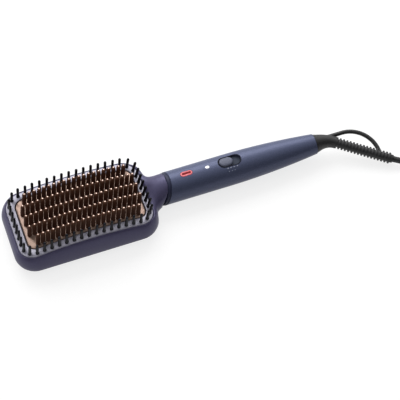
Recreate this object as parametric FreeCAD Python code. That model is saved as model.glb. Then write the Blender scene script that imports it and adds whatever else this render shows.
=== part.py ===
import FreeCAD, Part
import math
import os

from FreeCAD import Vector

# Heated paddle brush that straightens hair, lying on its back with the bristles up.
# +X runs from the head to the cord end, +Z is up, and the origin is under the middle of the brush.

# Whole brush
overall_length = 305.0
axis_height = 15.4
cut_overrun = 1.0
seat_gap = 0.1
press_gap = 0.05

# Head housing
head_length = 139.2
head_width = 81.6
head_corner_radius = 20.0
head_widest_height = 9.4
head_parting_height = 7.0
back_edge_inset = 8.0
rim_inset = 3.2
rim_height = 28.5
crown_drop = 7.2
crown_side_radius = 180.0
cavity_inset = 12.4
cavity_corner_radius = 16.0
back_wall = 2.5
wire_bore_radius = 5.0
head_screw_corner_inset = 14.1

# Neck: each section's share of the length before its round end, of the spread to the root and of the dip to it
neck_reach = 9.9
neck_round_reach = 14.1
neck_radius = 15.4
neck_length = 26.0
neck_root_inset = 4.8
neck_root_height = 20.0
neck_section_shares = [(1.0, 1.0, 1.0), (0.75, 0.66, 0.815), (0.635, 0.4, 0.676), (0.53, 0.225, 0.53),
                       (0.415, 0.11, 0.37), (0.3, 0.042, 0.222), (0.19, 0.01, 0.11)]

# Ring band and its outer bristles
band_inset = 6.0
band_height = 28.3
band_gap = 0.3
band_side_width = 8.0
band_far_width = 7.9
band_neck_width = 4.1
ledge_height = 16.5
carrier_thickness = 3.0
bristle_count = 50
bristle_start_share = 0.5
bristle_line_inset = 2.45
bristle_length = 15.2
bristle_foot_radius = 1.6
bristle_foot_height = 1.5
bristle_root_depth = 1.4
bristle_shank_radius = 1.15
bristle_tip_radius = 1.05

# Heated plate and its pins
plate_corner_radius = 10.0
plate_height = 27.4
pin_columns = 23
pin_rows = 5
pin_end_margin = 4.2
pin_side_margin = 3.2
pin_length = 16.2
pin_root_radius = 1.75
pin_tip_radius = 1.55
pin_root_depth = 0.9

# Heater stack under the plate
carrier_opening_inset = 4.0
carrier_opening_radius = 6.0
land_end_gap = 3.0
land_margin = 3.5
land_drop = 0.9
channel_length = 80.0
channel_width = 5.0
channel_depth = 2.6
channel_edge_inset = 10.7
heater_end_margin = 1.0
heater_gap = 6.0
heater_width = 17.0
heater_thickness = 1.6
mica_screw_gap = 2.75
mica_width = 22.0
mica_thickness = 0.5
clamp_end_margin = 1.0
clamp_width = 16.0
clamp_thickness = 1.0
clamp_screw_margin = 3.0
clamp_screw_radius = 1.25
clamp_screw_head_radius = 2.4
clamp_screw_head_height = 1.6
clamp_screw_depth = 3.0
fuse_radius = 2.0
fuse_length = 11.0
fuse_offset = 5.5
sensor_radius = 1.5
sensor_length = 5.0
sensor_offset = 6.0
lead_radius = 0.9
lead_spacing = 7.2
lead_board_lap = 5.0
mains_lead_spacing = 2.8

# Fasteners of the housings
screw_radius = 1.2
screw_head_radius = 2.4
screw_head_height = 1.9
screw_head_recess = 2.6
screw_length = 10.5

# Collar between neck and handle, on a seam that leans towards the cord at its top
collar_length = 3.6
collar_radius = 15.0
collar_tilt_degrees = 21.5
spigot_radius = 11.0
spigot_length = 10.0

# Handle shells
handle_radius = 15.4
handle_end_radius = 9.9
handle_straight_length = 60.2
handle_wall = 2.2
handle_ceiling_height = 27.8
handle_end_wall = 3.0
handle_hole_radius = 6.4
rib_thickness = 1.6
rib_place_shares = [0.15, 0.475, 0.895]
handle_screw_side = 6.5
handle_screw_seat = 6.2
handle_screw_length = 14.0
post_radius = 2.8

# Switch, lamps and board in the handle, each placed by its distance from the handle's front
board_reach = 45.8
board_length = 62.0
board_width = 17.0
board_thickness = 1.6
slot_reach = 65.3
slot_length = 22.0
slot_width = 10.6
knob_length = 13.6
knob_side_gap = 0.4
knob_floor_gap = 0.3
knob_rise = 0.6
switch_travel = 7.0
track_length = 30.0
track_width = 12.0
track_thickness = 1.0
lever_length = 4.0
lever_width = 2.6
lever_gap = 0.4
lever_offset = 2.8
lever_depth = 1.5
switch_body_length = 18.0
switch_body_width = 7.0
switch_body_height = 5.0
lamp_reach = 43.1
lamp_length = 4.0
lamp_width = 3.0
lamp_chip_size = 3.2
lamp_chip_height = 1.4
mark_reach = 22.3
mark_length = 12.2
mark_width = 5.2
mark_depth = 1.2
capacitor_radius = 4.0
capacitor_height = 9.0
capacitor_reach = 25.8
triac_length = 8.0
triac_width = 5.0
triac_height = 4.5
triac_gap = 1.5

# Cord grip inside the handle end
grip_reach = 24.5
grip_length = 12.0
grip_width = 15.0
grip_cap_thickness = 2.4
grip_screw_side = 4.9
grip_screw_radius = 0.9
grip_screw_head_radius = 1.9
grip_screw_head_height = 1.4
grip_screw_depth = 4.0
inner_cord_length = 30.5

# Strain relief with its hanging loop
relief_flange_radius = 7.3
relief_flange_length = 2.8
relief_waist_radius = 6.2
relief_gap = 0.2
relief_corner_run = 13.5
relief_bend_run = 9.0
relief_reach_along = 54.0
relief_reach_side = 36.2
relief_drop = 9.0
sleeve_length = 23.0
sleeve_start_radius = 9.4
sleeve_end_radius = 5.6
sleeve_section_shares = [(0.0, 1.0), (0.22, 0.605), (0.435, 0.315), (0.7, 0.13), (1.0, 0.0)]
relief_rib_pitch = 3.3
relief_rib_count = 16
relief_rib_radius = 5.5
relief_rib_width = 1.8
relief_rib_margin = 1.5
relief_core_radius = 3.9
spine_width = 7.6
spine_radius = 5.3
spine_roll_degrees = 20.0
loop_radius = 2.1
loop_bend_radius = 28.0
loop_start_run = 1.0
loop_rise = 2.8
loop_straight_run = 17.6
loop_end_run = 6.5

# Power cord, its coil, the tie and the plug
cord_radius = 3.0
cord_first_run = 14.4
cord_last_run = 20.0
cord_reach_share = 0.45
cord_middle_point = Vector(250.0, -49.6, 4.6)
coil_x = 297.0
coil_y = -2.5
coil_height = 4.5
coil_outer_radius = 47.0
coil_pitch = 6.6
coil_turns_per_layer = 3.25
coil_climb_turns = 0.5
coil_end_run = 6.0
coil_samples_per_turn = 48
tail_first_run = 19.0
tail_points = [Vector(340.6, -43.9, 9.5), Vector(354.8, -29.8, 7.9), Vector(362.4, -11.4, 6.85),
               Vector(362.4, 8.0, 6.85)]
tie_thickness = 1.0
tie_width = 6.0
tie_gap = 0.4
tie_corner_radius = 3.0
plug_nose_length = 9.0
plug_nose_radius = 4.4
plug_length = 32.0
plug_half_width = 17.6
plug_half_thickness = 6.8
plug_section_shares = [(0.22, 0.37, 0.735), (0.47, 0.767, 0.94), (0.75, 0.977, 1.0), (1.0, 1.0, 1.0)]
plug_corner_share = 0.65
plug_pin_radius = 2.0
plug_pin_length = 19.0
plug_pin_spacing = 18.6
plug_pin_round = 0.8

# Places worked out from the sizes above
brush_end_x = overall_length / 2
head_x = (head_length - overall_length) / 2
head_end_x = head_x + head_length / 2
crown_radius = ((head_length / 2) ** 2 + crown_drop ** 2) / (2 * crown_drop)
neck_end_x = head_end_x + neck_reach
neck_round_x = head_end_x + neck_round_reach
neck_root_half_width = head_width / 2 - neck_root_inset
handle_start_x = neck_end_x + collar_length
plate_x = head_x + (band_far_width - band_neck_width) / 2
plate_length = head_length - 2 * (band_inset + 2 * band_gap) - band_far_width - band_neck_width
plate_width = head_width - 2 * (band_inset + 2 * band_gap + band_side_width)
pin_pitch_along = (plate_length - 2 * pin_end_margin) / (pin_columns - 1)
pin_pitch_across = (plate_width - 2 * pin_side_margin) / (pin_rows - 1)
carrier_top = ledge_height + carrier_thickness
land_height = carrier_top - land_drop
land_length = plate_length - 2 * (carrier_opening_inset + land_end_gap)
land_width = heater_width + 2 * land_margin
channel_side = plate_width / 2 - channel_edge_inset
clamp_length = land_length - 2 * clamp_end_margin
clamp_screw_spacing = clamp_length - 2 * clamp_screw_margin
mica_length = clamp_screw_spacing - 2 * (clamp_screw_radius + mica_screw_gap)
heater_length = (mica_length - 2 * heater_end_margin - heater_gap) / 2
heater_spacing = heater_length + heater_gap
board_x = handle_start_x + board_reach
slot_x = handle_start_x + slot_reach
lamp_x = handle_start_x + lamp_reach
mark_x = handle_start_x + mark_reach
capacitor_x = handle_start_x + capacitor_reach
triac_x = capacitor_x + capacitor_radius + triac_gap + triac_length / 2
grip_x = brush_end_x - grip_reach
inner_cord_end_x = brush_end_x - handle_end_wall - relief_gap - relief_flange_length
inner_cord_start_x = inner_cord_end_x - inner_cord_length
handle_screw_x = (slot_x + track_length / 2 + inner_cord_start_x) / 2
up = Vector(0, 0, 1)
along = Vector(1, 0, 0)
across = Vector(0, 1, 0)


def rounded_loop(center, axis_a, axis_b, half_a, half_b, radius):
    """Rounded rectangle about a centre, in the plane of two directions."""
    diagonal = radius * math.sqrt(0.5)
    edges = []
    for side_a, side_b in ((1, 1), (-1, 1), (-1, -1), (1, -1)):
        corner = center + axis_a * (side_a * (half_a - radius)) + axis_b * (side_b * (half_b - radius))
        on_end = corner + axis_a * (side_a * radius)
        on_side = corner + axis_b * (side_b * radius)
        middle = corner + axis_a * (side_a * diagonal) + axis_b * (side_b * diagonal)
        first, last = (on_end, on_side) if side_a == side_b else (on_side, on_end)
        if edges:
            edges.append(Part.LineSegment(edges[-1].Vertexes[-1].Point, first).toShape())
        edges.append(Part.Arc(first, middle, last).toShape())
    edges.append(Part.LineSegment(edges[-1].Vertexes[-1].Point, edges[0].Vertexes[0].Point).toShape())
    return Part.Wire(edges)


def rounded_wire(center_x, height, half_x, half_y, radius):
    """Rounded rectangle in a level plane."""
    return rounded_loop(Vector(center_x, 0, height), along, across, half_x, half_y, radius)


def rounded_prism(center_x, bottom, top, half_x, half_y, radius):
    face = Part.Face(rounded_wire(center_x, bottom, half_x, half_y, radius))
    return face.extrude(Vector(0, 0, top - bottom))


def head_prism(inset, bottom, top):
    """Upright prism whose outline runs a fixed distance inside the head's widest outline."""
    return rounded_prism(head_x, bottom, top, head_length / 2 - inset, head_width / 2 - inset,
                         head_corner_radius - inset)


def centered_box(center_x, center_y, bottom, size_x, size_y, size_z):
    corner = Vector(center_x - size_x / 2, center_y - size_y / 2, bottom)
    return Part.makeBox(size_x, size_y, size_z, corner)


def stadium_prism(center_x, bottom, top, length, width):
    """Upright prism with round ends along the brush."""
    radius = width / 2
    half = length / 2 - radius
    left = Vector(center_x - half, 0, bottom)
    right = Vector(center_x + half, 0, bottom)
    side = Vector(0, radius, 0)
    edges = [
        Part.LineSegment(left - side, right - side).toShape(),
        Part.Arc(right - side, right + Vector(radius, 0, 0), right + side).toShape(),
        Part.LineSegment(right + side, left + side).toShape(),
        Part.Arc(left + side, left - Vector(radius, 0, 0), left - side).toShape(),
    ]
    return Part.Face(Part.Wire(edges)).extrude(Vector(0, 0, top - bottom))


def turned(points, origin, direction):
    """Solid of revolution from points (radius, distance along the direction)."""
    side = across if abs(direction.y) < 0.5 else along
    rim = [origin + side * radius + direction * step for radius, step in points]
    wire = Part.makePolygon(rim + [rim[0]])
    return Part.Face(wire).revolve(origin, direction, 360)


def crowned_block(top, side_radius, bottom):
    """Block over the head whose top is crowned along the brush, and across it where a radius is given."""
    half = head_width / 2 + cut_overrun
    drop = 0
    if side_radius:
        drop = side_radius - math.sqrt(side_radius ** 2 - half ** 2)
    low = top - crown_radius / 2
    corners = [Vector(head_x, half, top - drop), Vector(head_x, half, low), Vector(head_x, -half, low),
               Vector(head_x, -half, top - drop)]
    edges = [Part.LineSegment(a, b).toShape() for a, b in zip(corners, corners[1:])]
    if side_radius:
        turn = math.asin(half / side_radius) / 2
        shoulder = Vector(head_x, side_radius * math.sin(turn), top - side_radius * (1 - math.cos(turn)))
        crest = Vector(head_x, 0, top)
        far_shoulder = Vector(head_x, -shoulder.y, shoulder.z)
        edges.append(Part.Arc(corners[3], far_shoulder, crest).toShape())
        edges.append(Part.Arc(crest, shoulder, corners[0]).toShape())
    else:
        edges.append(Part.LineSegment(corners[3], corners[0]).toShape())
    face = Part.Face(Part.Wire(edges))
    pivot = Vector(head_x, 0, top - crown_radius)
    swing = math.degrees(math.asin((head_length / 2 + head_corner_radius) / crown_radius))
    face.rotate(pivot, across, -swing)
    block = face.revolve(pivot, across, 2 * swing)
    keep = Part.makeBox(overall_length, 2 * half, crown_radius,
                        Vector(head_x - overall_length / 2, -half, bottom))
    return block.common(keep)


def crown_at(x, y, top, side_radius):
    """Height of a crowned face over a point of the head."""
    drop = 0
    if side_radius:
        drop = side_radius - math.sqrt(side_radius ** 2 - y ** 2)
    return top - crown_radius + math.sqrt((crown_radius - drop) ** 2 - (x - head_x) ** 2)


def head_form():
    """Outer form of head and neck: the side profile swept round the outline, crowned, with the neck."""
    lower_radius = (back_edge_inset ** 2 + head_widest_height ** 2) / (2 * back_edge_inset)
    rise = rim_height - head_widest_height
    upper_radius = (rim_inset ** 2 + rise ** 2) / (2 * rim_inset)
    core_inset = cavity_inset
    edge_x = head_x - head_length / 2

    def profile_point(inset, height):
        return Vector(edge_x + inset, 0, height)

    def arc_middle(radius, end_inset, end_height):
        turn = math.atan2(abs(end_height - head_widest_height), radius - end_inset) / 2
        height = head_widest_height + math.copysign(radius * math.sin(turn), end_height - head_widest_height)
        return profile_point(radius - radius * math.cos(turn), height)

    bottom_inner = profile_point(core_inset, 0)
    bottom_edge = profile_point(back_edge_inset, 0)
    widest = profile_point(0, head_widest_height)
    top_edge = profile_point(rim_inset, rim_height)
    top_inner = profile_point(core_inset, rim_height)
    profile = Part.Wire([
        Part.LineSegment(bottom_inner, bottom_edge).toShape(),
        Part.Arc(bottom_edge, arc_middle(lower_radius, back_edge_inset, 0), widest).toShape(),
        Part.Arc(widest, arc_middle(upper_radius, rim_inset, rim_height), top_edge).toShape(),
        Part.LineSegment(top_edge, top_inner).toShape(),
        Part.LineSegment(top_inner, bottom_inner).toShape(),
    ])
    path = rounded_wire(head_x, head_widest_height, head_length / 2, head_width / 2, head_corner_radius)
    border = path.makePipeShell([profile], True, False)
    form = border.fuse(head_prism(core_inset, 0, rim_height)).removeSplitter()
    return form.common(crowned_block(rim_height, 0, 0))


def beyond_seam(step):
    """All that lies past the leaning seam, a step along the brush from the end of the neck."""
    block = Part.makeBox(overall_length, 2 * overall_length, 2 * overall_length,
                         Vector(0, -overall_length, -overall_length))
    block.rotate(Vector(0, 0, 0), across, collar_tilt_degrees)
    block.translate(Vector(neck_end_x + step, 0, axis_height))
    return block


def neck_form():
    """Neck lofted through ellipses that stand on the back plane, round at the seam."""
    wires = []
    for before_share, spread_share, dip_share in neck_section_shares + [(0, 0, 0)]:
        x = neck_round_x - before_share * neck_length
        half = neck_radius + spread_share * (neck_root_half_width - neck_radius)
        height = 2 * neck_radius - dip_share * (2 * neck_radius - neck_root_height)
        middle = Vector(x, 0, height / 2)
        oval = Part.Ellipse(middle + Vector(0, half, 0), middle + Vector(0, 0, height / 2), middle)
        wires.append(Part.Wire([oval.toShape()]))
    bar = Part.makeCylinder(neck_radius, neck_radius, Vector(neck_round_x, 0, axis_height), along)
    return Part.makeLoft(wires, True, False).fuse(bar).cut(beyond_seam(0))


def write(name, shape):
    shapes = shape if isinstance(shape, list) else [shape]
    body = Part.makeCompound(shapes) if len(shapes) > 1 else shapes[0]
    body.exportStep("parts/" + name + ".step")
    print(name, "solids", len(body.Solids), "valid", body.isValid(), "volume", round(body.Volume, 1))


os.makedirs("parts", exist_ok=True)

# Head housing and back cover, parted below the widest line
outer = head_form().fuse(neck_form())
cut_span = overall_length
above = centered_box(0, 0, head_parting_height, 2 * cut_span, cut_span, cut_span)
below = centered_box(0, 0, head_parting_height - cut_span, 2 * cut_span, cut_span, cut_span)
cavity_half_x = head_length / 2 - cavity_inset
cavity_half_y = head_width / 2 - cavity_inset
head_screw_places = [
    Vector(head_x + side_x * (head_length / 2 - head_screw_corner_inset),
           side_y * (head_width / 2 - head_screw_corner_inset), screw_head_recess)
    for side_x in (-1, 1) for side_y in (-1, 1)
]
pocket = head_prism(band_inset, ledge_height, rim_height + cut_overrun)
cavity = rounded_prism(head_x, back_wall, rim_height, cavity_half_x, cavity_half_y, cavity_corner_radius)
wire_bore = Part.makeCylinder(wire_bore_radius, brush_end_x, Vector(head_x, 0, axis_height), along)
pilots = Part.makeCompound([
    Part.makeCylinder(screw_radius + press_gap, screw_length + seat_gap, place) for place in head_screw_places
])
recesses = Part.makeCompound([
    Part.makeCylinder(screw_head_radius + seat_gap, screw_head_recess + cut_overrun,
                      place - up * (screw_head_recess + cut_overrun)) for place in head_screw_places
])
head_housing = outer.common(above).cut(pocket).cut(cavity).cut(wire_bore).cut(pilots)
head_back_cover = outer.common(below).cut(cavity).cut(pilots).cut(recesses)
write("head_housing", head_housing)
write("head_back_cover", head_back_cover)

# Screws shared by the housings: a pan head under a plain shank
def screw(place, direction, length):
    under_head = place - direction * screw_head_height
    head = Part.makeCylinder(screw_head_radius, screw_head_height, under_head, direction)
    return head.fuse(Part.makeCylinder(screw_radius, length, place, direction)).removeSplitter()


write("head_screws", [screw(place, up, screw_length) for place in head_screw_places])

# Carrier frame that holds plate and band on the ledge of the housing
opening_half_x = plate_length / 2 - carrier_opening_inset
opening_half_y = plate_width / 2 - carrier_opening_inset
carrier_opening = rounded_prism(plate_x, ledge_height - cut_overrun, carrier_top + cut_overrun, opening_half_x,
                                opening_half_y, carrier_opening_radius)
plate_carrier = head_prism(band_inset + band_gap, ledge_height, carrier_top)
write("plate_carrier", plate_carrier.cut(carrier_opening))

# Ring band round the plate, with a socket for each outer bristle
plate_half_x = plate_length / 2
plate_half_y = plate_width / 2
band_block = head_prism(band_inset + band_gap, carrier_top, rim_height)
band_window = rounded_prism(plate_x, carrier_top - cut_overrun, rim_height + cut_overrun,
                            plate_half_x + band_gap, plate_half_y + band_gap, plate_corner_radius + band_gap)
bristle_ring = band_block.common(crowned_block(band_height, 0, 0)).cut(band_window)


def outline_places(half_x, half_y, radius, count, start_share):
    """Evenly spaced points on a rounded rectangle, from a share of a pitch past the far end's middle."""
    flat_x = half_x - radius
    flat_y = half_y - radius
    quarter = radius * math.pi / 2
    legs = [("side", flat_y, Vector(-half_x, 0, 0), Vector(0, -1, 0)),
            ("corner", quarter, Vector(-flat_x, -flat_y, 0), math.pi),
            ("side", 2 * flat_x, Vector(-flat_x, -half_y, 0), along),
            ("corner", quarter, Vector(flat_x, -flat_y, 0), 1.5 * math.pi),
            ("side", 2 * flat_y, Vector(half_x, -flat_y, 0), across),
            ("corner", quarter, Vector(flat_x, flat_y, 0), 0),
            ("side", 2 * flat_x, Vector(flat_x, half_y, 0), Vector(-1, 0, 0)),
            ("corner", quarter, Vector(-flat_x, flat_y, 0), 0.5 * math.pi),
            ("side", flat_y, Vector(-half_x, flat_y, 0), Vector(0, -1, 0))]
    total = sum(leg[1] for leg in legs)
    places = []
    for index in range(count):
        run = total * (index + start_share) / count
        for kind, length, start, heading in legs:
            if run <= length:
                break
            run -= length
        if kind == "side":
            places.append(start + heading * run)
        else:
            turn = heading + run / radius
            places.append(start + Vector(radius * math.cos(turn), radius * math.sin(turn), 0))
    return places


bristle_inset = band_inset + bristle_line_inset
bristle_places = []
for place in outline_places(head_length / 2 - bristle_inset, head_width / 2 - bristle_inset,
                            head_corner_radius - bristle_inset, bristle_count, bristle_start_share):
    x = head_x + place.x
    bristle_places.append(Vector(x, place.y, crown_at(x, place.y, band_height, 0) - bristle_root_depth))
sockets = [
    Part.makeCylinder(bristle_foot_radius + press_gap, rim_height, place) for place in bristle_places
]
bristle_ring = bristle_ring.cut(Part.makeCompound(sockets))
write("bristle_ring", bristle_ring)


def domed_post(place, points, tip_radius, top):
    """Turned post with a round tip; points are (radius, height over the place) from the root up."""
    rim = [place] + [place + along * radius + up * step for radius, step in points]
    crest = place + up * top
    shoulder = rim[-1]
    diagonal = tip_radius * math.sqrt(0.5)
    middle = place + along * diagonal + up * (top - tip_radius + diagonal)
    edges = [Part.LineSegment(a, b).toShape() for a, b in zip(rim, rim[1:])]
    edges.append(Part.Arc(shoulder, middle, crest).toShape())
    edges.append(Part.LineSegment(crest, place).toShape())
    return Part.Face(Part.Wire(edges)).revolve(place, up, 360)


# Outer bristles: nylon, with a foot in the band and a slim shank
bristle_top = bristle_root_depth + bristle_length
bristle_points = [
    (bristle_foot_radius, 0),
    (bristle_foot_radius, bristle_root_depth + bristle_foot_height / 2),
    (bristle_shank_radius, bristle_root_depth + bristle_foot_height),
    (bristle_tip_radius, bristle_top - bristle_tip_radius),
]
write("outer_bristles",
      [domed_post(place, bristle_points, bristle_tip_radius, bristle_top) for place in bristle_places])

# Heated plate: crowned both ways, flat below, with a land for the heaters and two lightening channels
plate = rounded_prism(plate_x, carrier_top, rim_height, plate_half_x, plate_half_y, plate_corner_radius)
plate = plate.common(crowned_block(plate_height, crown_side_radius, 0))
land = centered_box(plate_x, 0, land_height, land_length, land_width, land_drop + channel_depth)
plate = plate.fuse(land)
for side in (-1, 1):
    channel = centered_box(plate_x, side * channel_side, carrier_top - cut_overrun, channel_length,
                           channel_width, channel_depth + cut_overrun)
    plate = plate.cut(channel)
pin_places = []
for row in range(pin_rows):
    y = (row - (pin_rows - 1) / 2) * pin_pitch_across
    outer_row = row in (0, pin_rows - 1)
    for column in range(pin_columns):
        if outer_row and column in (0, pin_columns - 1):
            continue
        x = plate_x + (column - (pin_columns - 1) / 2) * pin_pitch_along
        pin_places.append(Vector(x, y, crown_at(x, y, plate_height, crown_side_radius) - pin_root_depth))
spots = [Part.makeCylinder(pin_root_radius + press_gap, rim_height, place) for place in pin_places]
plate = plate.cut(Part.makeCompound(spots))
clamp_bottom = land_height - heater_thickness - mica_thickness - clamp_thickness
clamp_screw_places = [Vector(plate_x + side * clamp_screw_spacing / 2, 0, clamp_bottom) for side in (-1, 1)]
clamp_holes = Part.makeCompound([
    Part.makeCylinder(clamp_screw_radius + press_gap, clamp_screw_depth + carrier_thickness + seat_gap, place)
    for place in clamp_screw_places
])
plate = plate.cut(clamp_holes).removeSplitter()
write("heater_plate", plate)

# Pins that carry the heat into the hair
pin_top = pin_root_depth + pin_length
pin_points = [(pin_root_radius, 0), (pin_tip_radius, pin_top - pin_tip_radius)]
write("heated_pins", [domed_post(place, pin_points, pin_tip_radius, pin_top) for place in pin_places])

# Two ceramic heaters, a mica sheet and the sprung clamp under the plate
heater_bottom = land_height - heater_thickness
write("ceramic_heaters", [
    centered_box(plate_x + side * heater_spacing / 2, 0, heater_bottom, heater_length, heater_width,
                 heater_thickness)
    for side in (-1, 1)
])
mica_bottom = heater_bottom - mica_thickness
mica_sheet = rounded_prism(plate_x, mica_bottom, heater_bottom, mica_length / 2, mica_width / 2,
                           mica_thickness)
write("mica_sheet", mica_sheet)
heater_clamp = rounded_prism(plate_x, clamp_bottom, mica_bottom, clamp_length / 2, clamp_width / 2,
                             clamp_thickness)
write("heater_clamp", heater_clamp.cut(clamp_holes))
clamp_screw_length = clamp_screw_depth + carrier_thickness
write("clamp_screws", [
    turned([(0, -clamp_screw_head_height), (clamp_screw_head_radius, -clamp_screw_head_height),
            (clamp_screw_head_radius, 0), (clamp_screw_radius, 0), (clamp_screw_radius, clamp_screw_length),
            (0, clamp_screw_length)], place, up)
    for place in clamp_screw_places
])

# Thermal fuse and sensor held against the clamp, and the leads that run through the neck
fuse_place = Vector(plate_x - fuse_length / 2, fuse_offset, clamp_bottom - fuse_radius)
write("thermal_fuse", Part.makeCylinder(fuse_radius, fuse_length, fuse_place, along))
sensor_place = Vector(plate_x - sensor_length / 2, -sensor_offset, clamp_bottom - sensor_radius)
write("heat_sensor", Part.makeCylinder(sensor_radius, sensor_length, sensor_place, along))
board_bottom = clamp_bottom
board_start_x = board_x - board_length / 2
board_end_x = board_x + board_length / 2
lead_start_x = plate_x + heater_spacing / 2
lead_end_x = board_start_x + lead_board_lap
lead_height = clamp_bottom - lead_radius
write("heater_leads", [
    Part.makeCylinder(lead_radius, lead_end_x - lead_start_x,
                      Vector(lead_start_x, side * lead_spacing / 2, lead_height), along)
    for side in (-1, 1)
])

# Collar ring with a spigot that keys the handle to the neck
axis_origin = Vector(0, 0, axis_height)
bar_start_x = neck_end_x - handle_radius
spigot_end_x = handle_start_x + spigot_length
bar_start = Vector(bar_start_x, 0, axis_height)
collar_ring = Part.makeCylinder(collar_radius, 2 * handle_radius + collar_length, bar_start, along)
collar_ring = collar_ring.common(beyond_seam(0)).cut(beyond_seam(collar_length))
spigot = Part.makeCylinder(spigot_radius, spigot_end_x - bar_start_x, bar_start, along).common(beyond_seam(0))
collar_ring = collar_ring.fuse(spigot).removeSplitter().cut(wire_bore)
write("collar_ring", collar_ring)

# Handle: a turned form, straight under the palm and drawn in towards the cord
handle_length = brush_end_x - handle_start_x
bend_start_x = handle_start_x + handle_straight_length
bend_length = brush_end_x - bend_start_x
bend_drop = handle_radius - handle_end_radius
bend_radius = (bend_length ** 2 + bend_drop ** 2) / (2 * bend_drop)


def handle_radius_at(x):
    run = max(x - bend_start_x, 0)
    return handle_radius - bend_radius + math.sqrt(bend_radius ** 2 - run ** 2)


def handle_solid(start, end, inset):
    """Solid of revolution a fixed distance inside the handle's skin."""
    def skin(x):
        return Vector(x, 0, axis_height + handle_radius_at(x) - inset)

    middle = (bend_start_x + end) / 2
    edges = [
        Part.LineSegment(Vector(start, 0, axis_height), skin(start)).toShape(),
        Part.LineSegment(skin(start), skin(bend_start_x)).toShape(),
        Part.Arc(skin(bend_start_x), skin(middle), skin(end)).toShape(),
        Part.LineSegment(skin(end), Vector(end, 0, axis_height)).toShape(),
        Part.LineSegment(Vector(end, 0, axis_height), Vector(start, 0, axis_height)).toShape(),
    ]
    return Part.Face(Part.Wire(edges)).revolve(axis_origin, along, 360)


def handle_round(inset):
    """Plain round bar of the palm's size, for faces that follow the skin round the switch and lamps."""
    start = Vector(handle_start_x, 0, axis_height)
    return Part.makeCylinder(handle_radius - inset, handle_length, start, along)


skin_solid = handle_solid(bar_start_x, brush_end_x, 0).common(beyond_seam(collar_length))
hollow = handle_solid(bar_start_x, brush_end_x - handle_end_wall, handle_wall)
hollow = hollow.common(beyond_seam(collar_length + handle_wall))
ceiling = centered_box(0, 0, handle_ceiling_height - cut_span, 2 * cut_span, cut_span, cut_span)
hollow = hollow.common(ceiling)
front_opening = Part.makeCylinder(spigot_radius + seat_gap, spigot_end_x + seat_gap - bar_start_x, bar_start,
                                  along)
end_hole = Part.makeCylinder(handle_hole_radius, brush_end_x, Vector(grip_x, 0, axis_height), along)
shell = skin_solid.cut(hollow).cut(front_opening).cut(end_hole)
upper_half = centered_box(0, 0, axis_height, 2 * cut_span, cut_span, cut_span)
lower_half = centered_box(0, 0, axis_height - cut_span, 2 * cut_span, cut_span, cut_span)
handle_screw_places = [Vector(handle_screw_x, side * handle_screw_side, handle_screw_seat) for side in (-1, 1)]
posts = Part.makeCompound([
    Part.makeCylinder(post_radius, cut_span, place - up * (cut_span / 2)) for place in handle_screw_places
])
post_core = skin_solid.common(posts)
post_holes = Part.makeCompound([
    Part.makeCylinder(screw_radius + press_gap, handle_screw_length + seat_gap, place)
    for place in handle_screw_places
])
post_recesses = Part.makeCompound([
    Part.makeCylinder(screw_head_radius + seat_gap, cut_span, place - up * cut_span)
    for place in handle_screw_places
])

# Upper shell with the switch slot, the lamp hole, the recess of the red mark and the seat of the track
skin_top = axis_height + handle_radius
slot = stadium_prism(slot_x, axis_height, skin_top + cut_overrun, slot_length, slot_width)
track_seat = centered_box(slot_x, 0, axis_height, track_length + 2 * seat_gap, track_width + 2 * seat_gap,
                          handle_ceiling_height - axis_height)
lamp_hole = stadium_prism(lamp_x, axis_height, skin_top + cut_overrun, lamp_length + 2 * seat_gap,
                          lamp_width + 2 * seat_gap)
mark_recess = stadium_prism(mark_x, axis_height, skin_top + cut_overrun, mark_length + 2 * seat_gap,
                            mark_width + 2 * seat_gap).cut(handle_round(mark_depth))
handle_front_shell = shell.fuse(post_core).common(upper_half).cut(slot).cut(track_seat).cut(lamp_hole)
handle_front_shell = handle_front_shell.cut(mark_recess).cut(post_holes)
write("handle_front_shell", handle_front_shell)

# Lower shell with ribs under the board, screw posts and the pedestal of the cord grip
ribs = [
    hollow.common(centered_box(board_start_x + share * board_length, 0, board_bottom - cut_span, rib_thickness,
                               cut_span, cut_span))
    for share in rib_place_shares
]
pedestal_top = axis_height - cord_radius
pedestal = hollow.common(centered_box(grip_x, 0, pedestal_top - cut_span, grip_length, grip_width, cut_span))
grip_cap_bottom = axis_height + cord_radius
grip_cap_top = grip_cap_bottom + grip_cap_thickness
grip_places = [Vector(grip_x, side * grip_screw_side, grip_cap_top) for side in (-1, 1)]
grip_screw_length = grip_cap_top - pedestal_top + grip_screw_depth
grip_holes = Part.makeCompound([
    Part.makeCylinder(grip_screw_radius + press_gap, grip_screw_length + seat_gap, place, -up)
    for place in grip_places
])
handle_rear_shell = shell.fuse(post_core).common(lower_half)
for piece in ribs + [pedestal]:
    handle_rear_shell = handle_rear_shell.fuse(piece)
handle_rear_shell = handle_rear_shell.removeSplitter().cut(post_holes).cut(post_recesses).cut(grip_holes)
write("handle_rear_shell", handle_rear_shell)
write("handle_screws", [screw(place, up, handle_screw_length) for place in handle_screw_places])

# Cord end inside the handle, held by a cap with two screws, and its leads to the board
inner_cord = Part.makeCylinder(cord_radius, inner_cord_length, Vector(inner_cord_start_x, 0, axis_height), along)
write("inner_cord", inner_cord)
grip_cap = centered_box(grip_x, 0, grip_cap_bottom, grip_length, grip_width, grip_cap_thickness)
write("cord_grip", grip_cap.cut(grip_holes))
write("cord_grip_screws", [
    turned([(0, -grip_screw_head_height), (grip_screw_head_radius, -grip_screw_head_height),
            (grip_screw_head_radius, 0), (grip_screw_radius, 0), (grip_screw_radius, grip_screw_length),
            (0, grip_screw_length)], place, -up)
    for place in grip_places
])
mains_start_x = board_end_x - lead_board_lap
write("mains_leads", [
    Part.makeCylinder(lead_radius, inner_cord_start_x - mains_start_x,
                      Vector(mains_start_x, side * mains_lead_spacing / 2, lead_height), along)
    for side in (-1, 1)
])

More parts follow.
